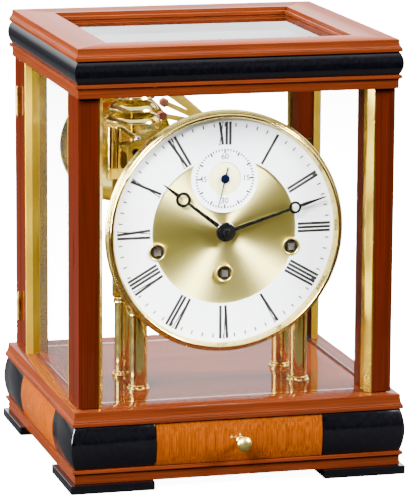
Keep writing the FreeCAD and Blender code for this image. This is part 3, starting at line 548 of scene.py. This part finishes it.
def ring_of_bars(name, count, radius, bar, centre, material, body):
    """bar is its size outwards, round and up, in mm; a bar's front is half its height before centre."""
    return grown(name, [(0, 0, 0)], RING_OF_BARS, {
        "Count": count, "Radius": radius * MM, "Bar": [side * MM for side in bar],
        "Centre": [side * MM for side in centre], "Material": material}, body)


# ---- mouldings, band and base
EASE = 0.45  # rounding of a moulding's sharp edges
CROWN_TOP_RIMS = (25.5, 27.0)  # rails' widths at the sides, and at the front and back
CROWN_RIMS = (28.5, 30.0)
BOARD_RAIL = 24.0


def lip_below(high, inner):
    """A board edge with its lip at the bottom and a cove rising to the top edge."""
    cove = [(LIP_OUT * (1 - sin_of(a)), 3.0 + (high - 4.2) * (1 - cos_of(a)))
            for a in range(15, 91, 15)]
    return eased([(inner, 0), (LIP_OUT, 0), (LIP_OUT, 2.3), (LIP_OUT * 0.8, 2.9)], EASE)[5:] + cove + [
        (0, high - 0.35), (-0.1, high - 0.1), (-0.35, high), (inner, high), (inner, 0)]


def lip_above(high, inner):
    """A board edge with its lip at the top over a small cove."""
    start = high - 2.2
    cove = [(LIP_OUT * (1 - cos_of(a)), start - LIP_OUT * (1 - sin_of(a)))
            for a in range(0, 91, 15)]
    return [(inner, 0), (-0.7, 0), (-0.2, 0.2), (0, 0.7)] + cove + [
        (LIP_OUT, high - 0.45), (LIP_OUT - 0.15, high - 0.12), (LIP_OUT - 0.5, high), (inner, high)]


def barrelled(high, inner):
    """A board edge rounded out like a barrel stave."""
    radius = (high ** 2 / 4 + BAND_OUT ** 2) / (2 * BAND_OUT)
    heights = [high * step / 16 for step in range(17)]
    return [(inner, 0)] + [(BAND_OUT - radius + math.sqrt(radius ** 2 - (up - high / 2) ** 2), up)
                           for up in heights] + [(inner, high)]


def moulded_rails(cad_node, profile_of, rims, stands_out=LIP_OUT):
    """Four rails of a profile that fill a CAD node's outline, of which stands_out is past the edge."""
    low, high = corners(cad_node)
    half_x = (high.x - low.x) / 2 - stands_out
    half_y = (high.y - low.y) / 2 - stands_out
    return mitred_rails(profile_of(high.z - low.z, -rims[0]), half_x, half_y, low.z, rims)


for name, cad_node, profile_of, rims in (("crown_top_rails", "crown_top_frame", lip_below, CROWN_TOP_RIMS),
                                         ("crown_lower_rails", "crown_lower_moulding", lip_above, CROWN_RIMS)):
    make(name, moulded_rails(cad_node, profile_of, rims), [cherry_moulding], "case", [cad_node])
make("crown_band_rails", moulded_rails("crown_band", barrelled, CROWN_RIMS, BAND_OUT), [black_wood],
     "case", ["crown_band"])
for board, profile_of in (("base_board", lip_below), ("plinth_moulding", lip_above)):
    low, high = corners(board)
    inset = LIP_OUT + BOARD_RAIL
    make(f"{board}_rails", moulded_rails(board, profile_of, (BOARD_RAIL, BOARD_RAIL)), [cherry_moulding],
         "case", [board])
    inside = Vector((inset, inset, 0))
    make(f"{board}_panel", [block(low + inside, high - inside)], [cherry_across], "case")


# ---- CAD nodes that keep their shape
def dress(material, *names, ease=0.0):
    """Give CAD nodes their material and, where asked, eased edges."""
    for name in names:
        item = nodes[name]
        item.data.materials.clear()
        item.data.materials.append(material)
        if ease:
            weld = item.modifiers.new("weld", "WELD")
            weld.merge_threshold = 0.01 * MM
            bevel = item.modifiers.new("ease", "BEVEL")
            bevel.width = ease * MM
            bevel.segments = 2
            bevel.limit_method = "ANGLE"
            bevel.angle_limit = math.radians(40)


dress(cherry_upright, "post_front_left", "post_front_right", "post_back_left", "post_back_right",
      "front_stile_left", "front_stile_right", "back_stile_left", "back_stile_right", ease=0.7)
dress(cherry_across, "top_glass_bead", ease=0.5)
dress(cherry_veneer, "base_side_panels", "base_panel_back", "drawer_front", ease=0.4)
dress(beech, "drawer_tray", ease=0.5)
dress(black_wood, "feet", "base_corners", ease=0.5)
dress(trim_brass, "side_trims", ease=0.35)
for door, body in (("front", "front_door"), ("back", "back_door")):
    low, high = corners(f"{door}_door_trims")
    out_y, in_y = (low.y, high.y) if door == "front" else (high.y, low.y)
    inward = 1 if in_y > out_y else -1
    strips = []
    for side in (-1, 1):
        at = low.x if side < 0 else high.x
        outline = [(at, in_y), (at, out_y), (at - side * 0.5, out_y), (at - side * 1.0, out_y + inward * 0.3),
                   (at - side * 3.9, out_y + inward * 6.0), (at - side * 4.2, out_y + inward * 6.8),
                   (at - side * 4.2, in_y)]
        strips.append(prism([(x, y, low.z) for x, y in outline], [(x, y, high.z) for x, y in outline]))
    make(f"{door}_door_strips", strips, [strip_brass], body, [f"{door}_door_trims"])
dress(hinge_brass, "case_hinge_leaves", "hinge_pins", "front_door_hinge_leaves", "back_door_hinge_leaves")
dress(glass, "side_glass_left", "side_glass_right", "top_glass", "front_glass", "back_glass")
dress(plate_brass, "front_plate", "back_plate", "bell_stand", "hammer_frame", ease=0.3)
dress(bright_brass, "plate_pillars", "mainspring_barrels", "balance_wheel")
dress(black_hand, "hand_nut", ease=0.3)
dress(dark_steel, "winding_arbor_left", "winding_arbor_right", "winding_arbor_low", ease=0.4)
dress(bright_steel, "hour_bell_studs")
dress(gilt_dial, "dial_plate")
dress(white_enamel, "chapter_ring", "seconds_dial")

# ---- drawer knob
knob_low, knob_high = corners("drawer_knob")
knob = middle("drawer_knob")
knob_out = knob_high.y - knob_low.y
knob_radius = (knob_high.x - knob_low.x) / 2
HEAD_DEEP = 3.6  # from the knob's widest line to the top of its dome
widest = HEAD_DEEP - knob_out
knob_outline = [(0, 0), (3.0, 0), (3.0, -0.5), (2.6, -0.9), (2.2, -1.6), (2.0, -4.0), (2.5, -6.0),
                (4.0, widest + 1.9), (knob_radius - 0.5, widest + 0.9), (knob_radius - 0.1, widest + 0.4)]
knob_outline += [(knob_radius * cos_of(a), widest - HEAD_DEEP * sin_of(a))
                 for a in range(0, 90, 9)]
knob_outline.append((0, -knob_out))
make("drawer_knob_turned", [turned(knob_outline, "Y", (knob.x, knob_high.y, knob.z), 64, closed=False)],
     [knob_brass], "drawer", ["drawer_knob"])

# ---- columns
column_low, column_high = corners("movement_columns")
tall = column_high.z - column_low.z
COLUMN_X = 58  # from the middle of the clock to a column's axis
FLANGE_OUT = 1.6  # how far a column's foot stands out past its tube
flange = (column_high.x - column_low.x) / 2 - COLUMN_X
xs = (column_low.x + flange, column_high.x - flange)
ys = (column_low.y + flange, column_high.y - flange)
tube = flange - FLANGE_OUT
column_outline = [(0, 0), (flange, 0), (flange, 1.6), (flange - 0.35, 2.0), (flange - 1.3, 2.2),
                  (flange - 0.9, 2.9), (flange - 0.9, 3.6), (flange - 1.3, 4.0), (tube, 4.2),
                  (tube, tall - 5.0), (tube + 0.4, tall - 4.6), (tube + 0.9, tall - 4.2),
                  (tube + 1.0, tall - 3.6), (tube + 0.9, tall - 3.0), (tube + 0.4, tall - 2.6),
                  (tube + 0.4, tall - 0.4), (tube, tall), (0, tall)]
make("columns_turned", [
    turned(column_outline, "Z", (x, y, column_low.z), 64, closed=False) for x in xs for y in ys],
    [bright_brass], "case", ["movement_columns"])

# ---- dial: bezel, numerals, minute and seconds tracks
BEZEL_IN, BEZEL_OUT = 78.95, 85.0
bezel_front = corners("bezel")[0].y - dial_face
step = -bezel_front / 8  # the bezel's depth is drawn in eighths
bezel_outline = [
    (BEZEL_IN, 0), (BEZEL_OUT, 0), (BEZEL_OUT, -2.2 * step), (84.7, -2.8 * step), (84.2, -3.2 * step),
    (83.9, -3.6 * step), (83.6, -5.4 * step), (83.1, -5.9 * step), (82.8, -6.0 * step), (82.6, -6.6 * step),
    (82.2, -7.4 * step), (81.5, -7.9 * step), (81.0, -8.0 * step), (80.6, -7.8 * step), (80.3, -7.2 * step),
    (80.2, -6.5 * step), (80.0, -6.3 * step), (79.7, -5.7 * step), (79.45, -4.8 * step), (79.4, -4.1 * step),
    (79.2, -3.9 * step), (79.0, -3.0 * step)]
make("bezel_turned", [turned(bezel_outline, "Y", (dial.x, dial_face, dial.z), 192)],
     [bezel_brass], "case", ["bezel"], angle=50)
ring_of_bars("bezel_milling", 320, 83.85, (1.0, 0.95, 1.9), (dial.x, dial_face - 4.55 * step, dial.z),
             bright_brass, "case")

INK = 0.06  # how far printed ink stands off the dial
NUMERALS = ("I", "II", "III", "IIII", "V", "VI", "VII", "VIII", "IX", "X", "XI", "XII")
NUMERAL_IN, NUMERAL_OUT = 52.9, 76.4  # radii of their feet and heads
CUT_SHORT = 7.4  # twelve stops this much sooner, over the seconds ring
THICK, THIN, SERIF = 1.9, 0.7, 0.5
SERIF_REACH = 0.95
LETTER = {"I": 2.1, "V": 4.5, "X": 4.5}
LETTER_GAP = 0.5


def letter_strokes(letter, left, low, high):
    """Strokes of one tall Roman numeral letter whose foot is at low; each is an outline."""
    wide = LETTER[letter]
    right, centre = left + wide, left + wide / 2
    inset = THICK / 2 + 0.15

    def serif(x, z, reach=SERIF_REACH):
        return strip_between((x - reach, z), (x + reach, z), SERIF, SERIF)

    if letter == "I":
        strokes = [strip_between((centre, low), (centre, high), THICK, THICK)]
        strokes += [serif(centre, z, wide / 2) for z in (low + SERIF / 2, high - SERIF / 2)]
    elif letter == "V":
        strokes = [strip_between((left + inset, high), (centre + 0.2, low), THICK, THICK),
                   strip_between((right - inset, high), (centre + 0.2, low), THIN, THIN)]
        strokes += [serif(x, high - SERIF / 2) for x in (left + inset, right - inset)]
    else:
        strokes = [strip_between((left + inset, high), (right - inset, low), THICK, THICK),
                   strip_between((right - inset, high), (left + inset, low), THIN, THIN)]
        strokes += [serif(x, z) for x in (left + inset, right - inset)
                    for z in (low + SERIF / 2, high - SERIF / 2)]
    return strokes


numeral_shells = []
for hour, text in enumerate(NUMERALS, start=1):
    width = sum(LETTER[letter] for letter in text) + LETTER_GAP * (len(text) - 1)
    foot = NUMERAL_IN if hour < 12 else NUMERAL_IN + CUT_SHORT
    pen = -width / 2
    for letter in text:
        for outline in letter_strokes(letter, pen, foot, NUMERAL_OUT):
            numeral_shells.append(flat_shape(outline, ring_face - INK, INK, 0, hour * 30, (dial.x, dial.z)))
        pen += LETTER[letter] + LETTER_GAP
make("hour_numerals", numeral_shells, [black_ink], "case")
ring_of_bars("minute_ticks", 60, 74.4, (2.8, 1.0, INK), (dial.x, ring_face - INK / 2, dial.z), grey_ink,
             "case")
seconds_print = (seconds.x, seconds_face - INK / 2, seconds.z)
ring_of_bars("seconds_ticks", 60, 20.2, (1.5, 0.95, INK), seconds_print, black_ink, "case")
ring_of_bars("five_second_ticks", 12, 19.4, (3.0, 1.15, INK), seconds_print, black_ink, "case")
CAPITAL_SHARE = 0.72  # a figure's height as a share of its type size


def printed_number(text, height, x, z, front):
    """A small upright number as a flat plate of ink."""
    curve = bpy.data.curves.new(f"number_{text}", "FONT")
    curve.body = text
    curve.size = height * MM / CAPITAL_SHARE
    curve.align_x = "CENTER"
    curve.align_y = "CENTER"
    curve.extrude = INK / 2 * MM
    curve.offset = 0.07 * MM
    mesh = kept_mesh(linked(f"seconds_number_{text}", curve))
    stand = Matrix.Translation(Vector((x, front - INK / 2, z)) * MM) @ Matrix.Rotation(math.pi / 2, 4, "X")
    mesh.transform(stand)
    mesh.materials.clear()
    mesh.materials.append(black_ink)
    finish_piece(linked(f"seconds_number_{text}", mesh), "case", ())


NUMBER_RADIUS, NUMBER_HIGH = 15.4, 4.0
for text, turn in (("60", 0), ("15", 90), ("30", 180), ("45", 270)):
    angle = math.radians(turn)
    printed_number(text, NUMBER_HIGH, seconds.x + NUMBER_RADIUS * math.sin(angle),
                   seconds.z + NUMBER_RADIUS * math.cos(angle), seconds_face)
gilt_outline = [(1.4, 0.5), (11.6, 0.5), (11.6, 0.2), (11.1, 0), (1.4, 0)]
make("seconds_gilt_centre", [turned(gilt_outline, "Y", (seconds.x, dial_face - 0.9, seconds.z), 96)],
     [gilt_seconds], "case")
ferrule_outline = eased([(4.9, -1.0), (6.0, -1.0), (6.35, -1.4), (6.1, -2.1), (5.4, -2.25), (4.9, -1.8)], 0.25)
# each winding hole gets a black sleeve behind the dial: painted shade for the dark inside of the hole
shade_lining_outline = [(3.75, 1.6), (5.6, 1.6), (5.6, 7.5), (5.1, 7.5), (5.1, 2.0), (3.75, 2.0)]
ferrule_shells, shade_lining_shells = [], []
for word in ("left", "right", "low"):
    arbor = middle(f"winding_arbor_{word}")
    at = (arbor.x, dial_face, arbor.z)
    ferrule_shells.append(turned(ferrule_outline, "Y", at, 64))
    shade_lining_shells.append(turned(shade_lining_outline, "Y", at, 48))
make("winding_hole_ferrules", ferrule_shells, [satin_brass], "case")
make("winding_hole_shade_linings", shade_lining_shells, [hole_shade_black], "case")

# ---- hands
HOUR_TURN, MINUTE_TURN, SECONDS_TURN = 308, 73, 194  # degrees clockwise from twelve at rest
HAND_THICK = 0.6


def open_hand(name, cad_node, hub, eye_at, eye_radius, rim, reach, turn, waist, body):
    """A black hand with a round hub, a slim waist, an open eye and a pointed leaf."""
    front = corners(cad_node)[0].y
    centre = (dial.x, dial.z)
    stem_end = eye_at - eye_radius + rim * 0.6
    leaf_start = eye_at + eye_radius - rim * 0.6
    leaf = reach - leaf_start
    stem = [(-waist * 0.55, hub * 0.6), (-waist * 0.36, stem_end), (waist * 0.36, stem_end),
            (waist * 0.55, hub * 0.6)]
    tip = [(-1.1, leaf_start), (-1.25, leaf_start + leaf * 0.2), (-0.45, reach), (0.45, reach),
           (1.25, leaf_start + leaf * 0.2), (1.1, leaf_start)]
    angle = math.radians(turn)
    eye = (dial.x + eye_at * math.sin(angle), front, dial.z + eye_at * math.cos(angle))
    shells = [flat_shape(outline, front + 0.1, HAND_THICK - 0.1, 0, turn, centre) for outline in (stem, tip)]
    shells.append(turned(eased([(eye_radius - rim, 0), (eye_radius, 0), (eye_radius, HAND_THICK),
                                (eye_radius - rim, HAND_THICK)], 0.15, 3), "Y", eye, 48))
    shells.append(turned([(0, 0), (hub - 0.4, 0), (hub, 0.25), (hub, HAND_THICK + 0.3), (0, HAND_THICK + 0.3)],
                         "Y", (dial.x, front, dial.z), 64, closed=False))
    back = corners(cad_node)[1].y
    pipe = 2.0 if body == "minute_hand" else 3.1
    inner = 0 if body == "minute_hand" else 2.06
    pipe_outline = [(inner, 0), (pipe, 0), (pipe, back - front), (inner, back - front)]
    shells.append(turned(pipe_outline, "Y", (dial.x, front + 0.3, dial.z), 32, 1, closed=inner > 0))
    return make(name, shells, [black_hand, bright_brass], body, [cad_node])


open_hand("hour_hand_open", "hour_hand", 5.5, 38.3, 5.4, 2.1, 56, HOUR_TURN, 2.8, "hour_hand")
open_hand("minute_hand_open", "minute_hand", 6.9, 51.9, 4.4, 1.8, 75, MINUTE_TURN, 2.6, "minute_hand")
second_front, second_back = (corner.y for corner in corners("seconds_hand"))
second_pipe = second_back - second_front - 0.3
second_centre = (seconds.x, seconds.z)
second_shells = [
    flat_shape([(-0.6, -8.2), (-0.45, 0), (-0.3, 20), (0.3, 20), (0.45, 0), (0.6, -8.2)], second_front + 0.15,
               0.35, 0, SECONDS_TURN, second_centre),
    turned([(0, 0), (2.9, 0), (3.2, 0.25), (3.2, 0.75), (0, 0.75)], "Y",
           (seconds.x, second_front, seconds.z), 48, 0, closed=False),
    turned([(0, 0), (1.0, 0), (1.0, second_pipe), (0, second_pipe)], "Y",
           (seconds.x, second_front + 0.3, seconds.z), 24, 1, closed=False)]
make("seconds_hand_blued", second_shells, [blued_steel, bright_steel], "seconds_hand",
     ["seconds_hand"])

# ---- bells and hammers
def bell_shell(radius, tall, bore, axis, at, wall=0.9):
    """A thin domed bell with a rolled rim."""
    outer = [(max(radius * cos_of(a) ** 0.75, bore), tall * sin_of(a) ** 1.15)
             for a in range(7, 84, 7)]
    outer += [(bore, tall * sin_of(84) ** 1.15), (bore, tall)]
    inner = [(max(r - wall, bore), max(h - wall, 0)) for r, h in reversed(outer)]
    return turned([(radius - 0.2, 0), (radius, 0.5)] + outer + inner + [(radius - wall, 0)], axis, at, 96)


bell_low, bell_high = corners("chime_bells")
spindle = middle("chime_bells")
bell_radius = (bell_high.x - bell_low.x) / 2
BELL_TALL, BELL_PITCH, BELLS = 7.2, 8.2, 4
BELL_STEP = 2.5  # each bell's radius is this much less than the one below
nut_outline = [(2.0, BELL_TALL), (4.2, BELL_TALL), (4.2, BELL_TALL + 0.7), (2.0, BELL_TALL + 0.7)]
bell_shells, nut_shells = [], []
for index in range(BELLS):
    at = (spindle.x, spindle.y, bell_low.z + index * BELL_PITCH)
    bell_shells.append(bell_shell(bell_radius - index * BELL_STEP, BELL_TALL, 2.0, "Z", at))
    nut_shells.append(turned(nut_outline, "Z", at, 6))
make("chime_bells_turned", bell_shells, [bell_brass], "case", ["chime_bells"], angle=50)
make("bell_nuts", nut_shells, [bright_brass], "case", angle=20)
hour_low, hour_high = corners("hour_bell")
hour_bell = middle("hour_bell")
make("hour_bell_turned", [bell_shell((hour_high.x - hour_low.x) / 2, hour_high.y - hour_low.y, 3.0, "Y",
                                     (hour_bell.x, hour_low.y, hour_bell.z), wall=1.1)],
     [bell_brass], "case", ["hour_bell"], angle=50)


def hex_head(centre, radius, long, axis, index):
    """A six-sided hammer head along X or Y with chamfered ends."""
    points, faces = [], []
    for along, share in ((-long / 2, 0.8), (-long / 2 + 0.6, 1.0), (long / 2 - 0.6, 1.0), (long / 2, 0.8)):
        for corner in range(6):
            angle = math.radians(60 * corner)
            side, up = radius * share * math.sin(angle), radius * share * math.cos(angle)
            points.append(Vector(centre) + Vector((along, side, up) if axis == "X" else (side, along, up)))
    for ring in range(3):
        for corner in range(6):
            after = (corner + 1) % 6
            faces.append((ring * 6 + corner, ring * 6 + after, ring * 6 + 6 + after, ring * 6 + 6 + corner))
    faces += [tuple(range(6)), tuple(range(23, 17, -1))]
    return points, faces, index, None


def hammer_hub(pivot, radius, long):
    """The bored hub a hammer turns on, lying along Y."""
    outline = eased([(PIVOT_BORE, 0), (radius, 0), (radius, long), (PIVOT_BORE, long)], 0.3, 3)
    return turned(outline, "Y", (pivot.x, pivot.y - long / 2, pivot.z), 40)


PIVOT_BORE = 1.56
HAMMER_HUB, HUB_LONG = 3.0, 4.6
HEAD, HEAD_LONG = 3.5, 4.8  # a chime hammer head's corner radius and length
ACROSS_FLATS = 0.866  # half a hexagon's width, as a share of its corner radius
STRIKE_HUB, STRIKE_LONG = 3.5, 6.0
STRIKE_HEAD, STRIKE_HEAD_LONG = 4, 10
for number in range(1, BELLS + 1):
    name = f"chime_hammer_{number}"
    low, high = corners(name)
    centre = (low + high) / 2
    head = Vector((low.x + HEAD, centre.y, high.z - HEAD * ACROSS_FLATS))
    pivot = Vector((high.x - HAMMER_HUB, centre.y, low.z + HAMMER_HUB))
    make(f"{name}_turned", [
        hex_head(head, HEAD, HEAD_LONG, "Y", 1),
        flat_shape(strip_between((pivot.x, pivot.z), (head.x, head.z), 4.2, 3.4), centre.y - 0.7, 1.4),
        hammer_hub(pivot, HAMMER_HUB, HUB_LONG)],
        [satin_brass, hammer_leather], name, [name], angle=25)
low, high = corners("hour_hammer")
centre = (low + high) / 2
head = Vector((centre.x, centre.y, high.z - STRIKE_HEAD))
pivot = Vector((centre.x, centre.y, low.z + STRIKE_HUB))
make("hour_hammer_turned", [
    hex_head(head, STRIKE_HEAD, STRIKE_HEAD_LONG, "X", 1), rod_between(pivot + Vector((0, 0, 2.5)), head, 1.2),
    hammer_hub(pivot, STRIKE_HUB, STRIKE_LONG)],
    [bright_brass, hammer_leather], "hour_hammer", ["hour_hammer"], angle=25)

# ---- movement details between and on the plates
front_low, front_high = corners("front_plate")
back_low, back_high = corners("back_plate")
SCREW_HIGH = 1.2
front_screws, back_screws = front_low.y - SCREW_HIGH / 2, back_high.y + SCREW_HIGH / 2
screw_places = []
for x in (-60, 60):  # at the plates' corners
    for z in (front_low.z + 5.5, front_high.z - 5.5):
        screw_places += [(x, front_screws, z), (x, back_screws, z)]
for x in (-22, 22):  # round the back plate's middle
    screw_places += [(x, back_screws, dial.z + 5), (x, back_screws, dial.z + 38)]
grown("plate_screws", screw_places, SCREWS, {
    "Radius": 2.9 * MM, "Height": SCREW_HIGH * MM, "Slot": [7 * MM, 0.7 * MM, 0.9 * MM],
    "Material": blued_steel}, "case")

great_y = back_low.y - 3.2  # the great wheels run just before the back plate
for word in ("left", "right", "low"):
    arbor = middle(f"winding_arbor_{word}")
    make(f"great_wheel_{word}", [turned(eased([(4.2, 0), (21.6, 0), (21.6, 1.6), (4.2, 1.6)], 0.2, 2), "Y",
                                        (arbor.x, great_y, arbor.z), 96)], [plate_brass], "case")
    ring_of_bars(f"great_wheel_teeth_{word}", 84, 22.1, (1.6, 0.85, 1.6), (arbor.x, great_y + 0.8, arbor.z),
                 plate_brass, "case")


def beside(x, y, z):
    """A place given from the middle of the case."""
    return Vector((x, y + centre_y, z))


POST_XS, POST_Y, POST_RADIUS = (-76.4, -71.2), -50, 2.1  # the two silencing posts beside the dial
POST_FOOT, POST_TOP = 206, 241
ball = beside(-57.5, POST_Y, 232.8)
dome = [(POST_RADIUS * sin_of(a), POST_RADIUS * cos_of(a))
        for a in range(0, 91, 15)] + [(0, 0)]
linkage = [block(beside(-79, POST_Y - 2, POST_FOOT), beside(-60, POST_Y + 2, POST_FOOT + 7))]
linkage += [rod_between(beside(x, POST_Y, POST_FOOT), beside(x, POST_Y, POST_TOP), POST_RADIUS)
            for x in POST_XS]
linkage.append(rod_between(beside(-70, POST_Y, POST_TOP + 0.6), ball, 1.9))
linkage += [turned(dome, "Z", beside(x, POST_Y, POST_TOP), 24, closed=False) for x in POST_XS]
make("silencing_posts", linkage, [bright_brass], "case")
sphere = [(sin_of(a), -cos_of(a)) for a in range(0, 181, 12)]
tail_end = ball + Vector((-2.5, -1.5, -8))
make("silencing_ball_joint", [
    turned([(2.7 * r, 2.7 * h) for r, h in sphere], "Z", ball, 32, closed=False),
    rod_between(ball + Vector((0, -0.5, -1)), tail_end, 0.9),
    turned([(1.5 * r, 1.5 * h) for r, h in sphere], "Z", tail_end, 24, closed=False)],
    [bright_steel], "case")
SILL = 1.2  # a thin black strip along the foot of each side pane
for word in ("left", "right"):
    low, high = corners(f"side_glass_{word}")
    start = high.x if word == "left" else low.x - SILL
    make(f"side_glass_sill_{word}", [block((start, low.y, low.z), (start + SILL, high.y, low.z + SILL))],
         [black_hand], "case")

# ---- floor, light and camera
def studio_table(name, left, right, front, back):
    """A pale table top. Lacquer and brass mirror a dark floor, as they do in a studio with black cards
    laid round the table, while the table itself is seen white."""
    mesh = bpy.data.meshes.new(name)
    mesh.from_pydata([(left, front, 0), (right, front, 0), (right, back, 0), (left, back, 0)], [],
                     [(0, 1, 2, 3)])
    plane = linked(name, mesh)
    plane.location.z = -0.0002  # a hair under the feet
    material, tree, socket, _ = new_material("pale_table_top")
    white = add(tree, "ShaderNodeBsdfPrincipled", inputs={
        "Base Color": linear("#f4f4f4"), "Roughness": 0.8, "Emission Color": linear("#ffffff"),
        "Emission Strength": 12.0})
    cards = add(tree, "ShaderNodeBsdfDiffuse", inputs={"Color": linear("#181818")})
    path = add(tree, "ShaderNodeLightPath")
    mixed = add(tree, "ShaderNodeMixShader", inputs={"Fac": path.outputs["Is Camera Ray"]})
    tree.links.new(cards.outputs["BSDF"], mixed.inputs[1])
    tree.links.new(white.outputs["BSDF"], mixed.inputs[2])
    tree.links.new(mixed.outputs["Shader"], socket)
    mesh.materials.append(material)


studio_table("pale_table", -1.2, 1.6, -0.5, 2.5)
world = bpy.data.worlds.new("studio")
bpy.context.scene.world = world
world.use_nodes = True
sky = world.node_tree
sky.nodes.clear()
facing = add(sky, "ShaderNodeSeparateXYZ", inputs={
    "Vector": add(sky, "ShaderNodeTexCoord").outputs["Generated"]}).outputs
# Each glow follows one direction: from and to, then its two values.
glows = {
    "away": ("Y", -0.35, 0.45, 0.03, 1.0),  # bright behind the clock, dark before it
    "height": ("Z", -0.06, 0.13, 0.3, 4.2),  # bright above the table's edge
    "window": ("Z", 0.3, 0.6, 1.0, 0.25),  # and dimmer again high up
    "rightward": ("X", -0.15, 0.2, 0.35, 1.0),  # most of it comes from the right
    "ceiling": ("Z", 0.45, 0.95, 0.0, 2.2)}
glow = {}
for name, (axis, start, end, low, high) in glows.items():
    eased_glow = add(sky, "ShaderNodeMapRange", {"interpolation_type": "SMOOTHSTEP"}, {
        "Value": facing[axis], "From Min": start, "From Max": end, "To Min": low, "To Max": high})
    glow[name] = eased_glow.outputs["Result"]
wall = add(sky, "ShaderNodeMath", {"operation": "MULTIPLY"}, {0: glow["away"], 1: glow["height"]})
pane = add(sky, "ShaderNodeMath", {"operation": "MULTIPLY"}, {0: glow["window"], 1: glow["rightward"]})
room_light = add(sky, "ShaderNodeMath", {"operation": "MULTIPLY_ADD"}, {
    0: wall.outputs["Value"], 1: pane.outputs["Value"], 2: glow["ceiling"]})
room = add(sky, "ShaderNodeBackground", inputs={
    "Color": linear("#fbfcff"), "Strength": room_light.outputs["Value"]})
paper = add(sky, "ShaderNodeBackground", inputs={"Color": linear("#ffffff"), "Strength": 24.0})
seen = add(sky, "ShaderNodeLightPath")
mixed_sky = add(sky, "ShaderNodeMixShader", inputs={"Fac": seen.outputs["Is Camera Ray"]})
sky.links.new(room.outputs["Background"], mixed_sky.inputs[1])
sky.links.new(paper.outputs["Background"], mixed_sky.inputs[2])
add(sky, "ShaderNodeOutputWorld", inputs={"Surface": mixed_sky.outputs["Shader"]})


def soft_light(name, at, aim, size, watts, mirrored=False):
    """A soft box. Polished surfaces mirror only the ones that a studio leaves uncovered to them."""
    lamp = bpy.data.lights.new(name, "AREA")
    lamp.shape = "RECTANGLE"
    lamp.size, lamp.size_y = size
    lamp.energy = watts
    item = linked(name, lamp)
    item.location = at
    item.rotation_euler = (Vector(aim) - Vector(at)).to_track_quat("-Z", "Y").to_euler()
    item.visible_glossy = mirrored


aim = (0, 0, 0.16)
soft_light("key_upper_left", (-1.1, -1.35, 1.25), aim, (0.8, 0.8), 290, mirrored=True)
soft_light("fill_upper_right", (1.9, -1.3, 1.7), aim, (0.9, 0.9), 600, mirrored=True)
soft_light("side_left", (-1.7, 0.1, 0.5), aim, (0.9, 1.1), 410, mirrored=True)
soft_light("overhead", (0.1, 0.3, 1.7), aim, (1.0, 0.8), 600)

CAMERA_AT = Vector((-0.6098, -2.2930, 0.6167))
CAMERA_TURN, CAMERA_TILT, CAMERA_ROLL = 0.2612, 0.1967, 0.0056  # radians
level = Vector((math.cos(CAMERA_TURN), -math.sin(CAMERA_TURN), 0))
ahead = Vector((math.sin(CAMERA_TURN) * math.cos(CAMERA_TILT), math.cos(CAMERA_TURN) * math.cos(CAMERA_TILT),
                -math.sin(CAMERA_TILT)))
upright = level.cross(ahead)
across = level * math.cos(CAMERA_ROLL) + upright * math.sin(CAMERA_ROLL)
lens_data = bpy.data.cameras.new("clock_view")
lens_data.sensor_width = 36
lens_data.lens = 244.8
lens_data.clip_end = 50
camera = linked("clock_view", lens_data)
camera.matrix_world = Matrix.Translation(CAMERA_AT) @ Matrix(
    (across, across.cross(ahead), -ahead)).transposed().to_4x4()
bpy.context.scene.camera = camera
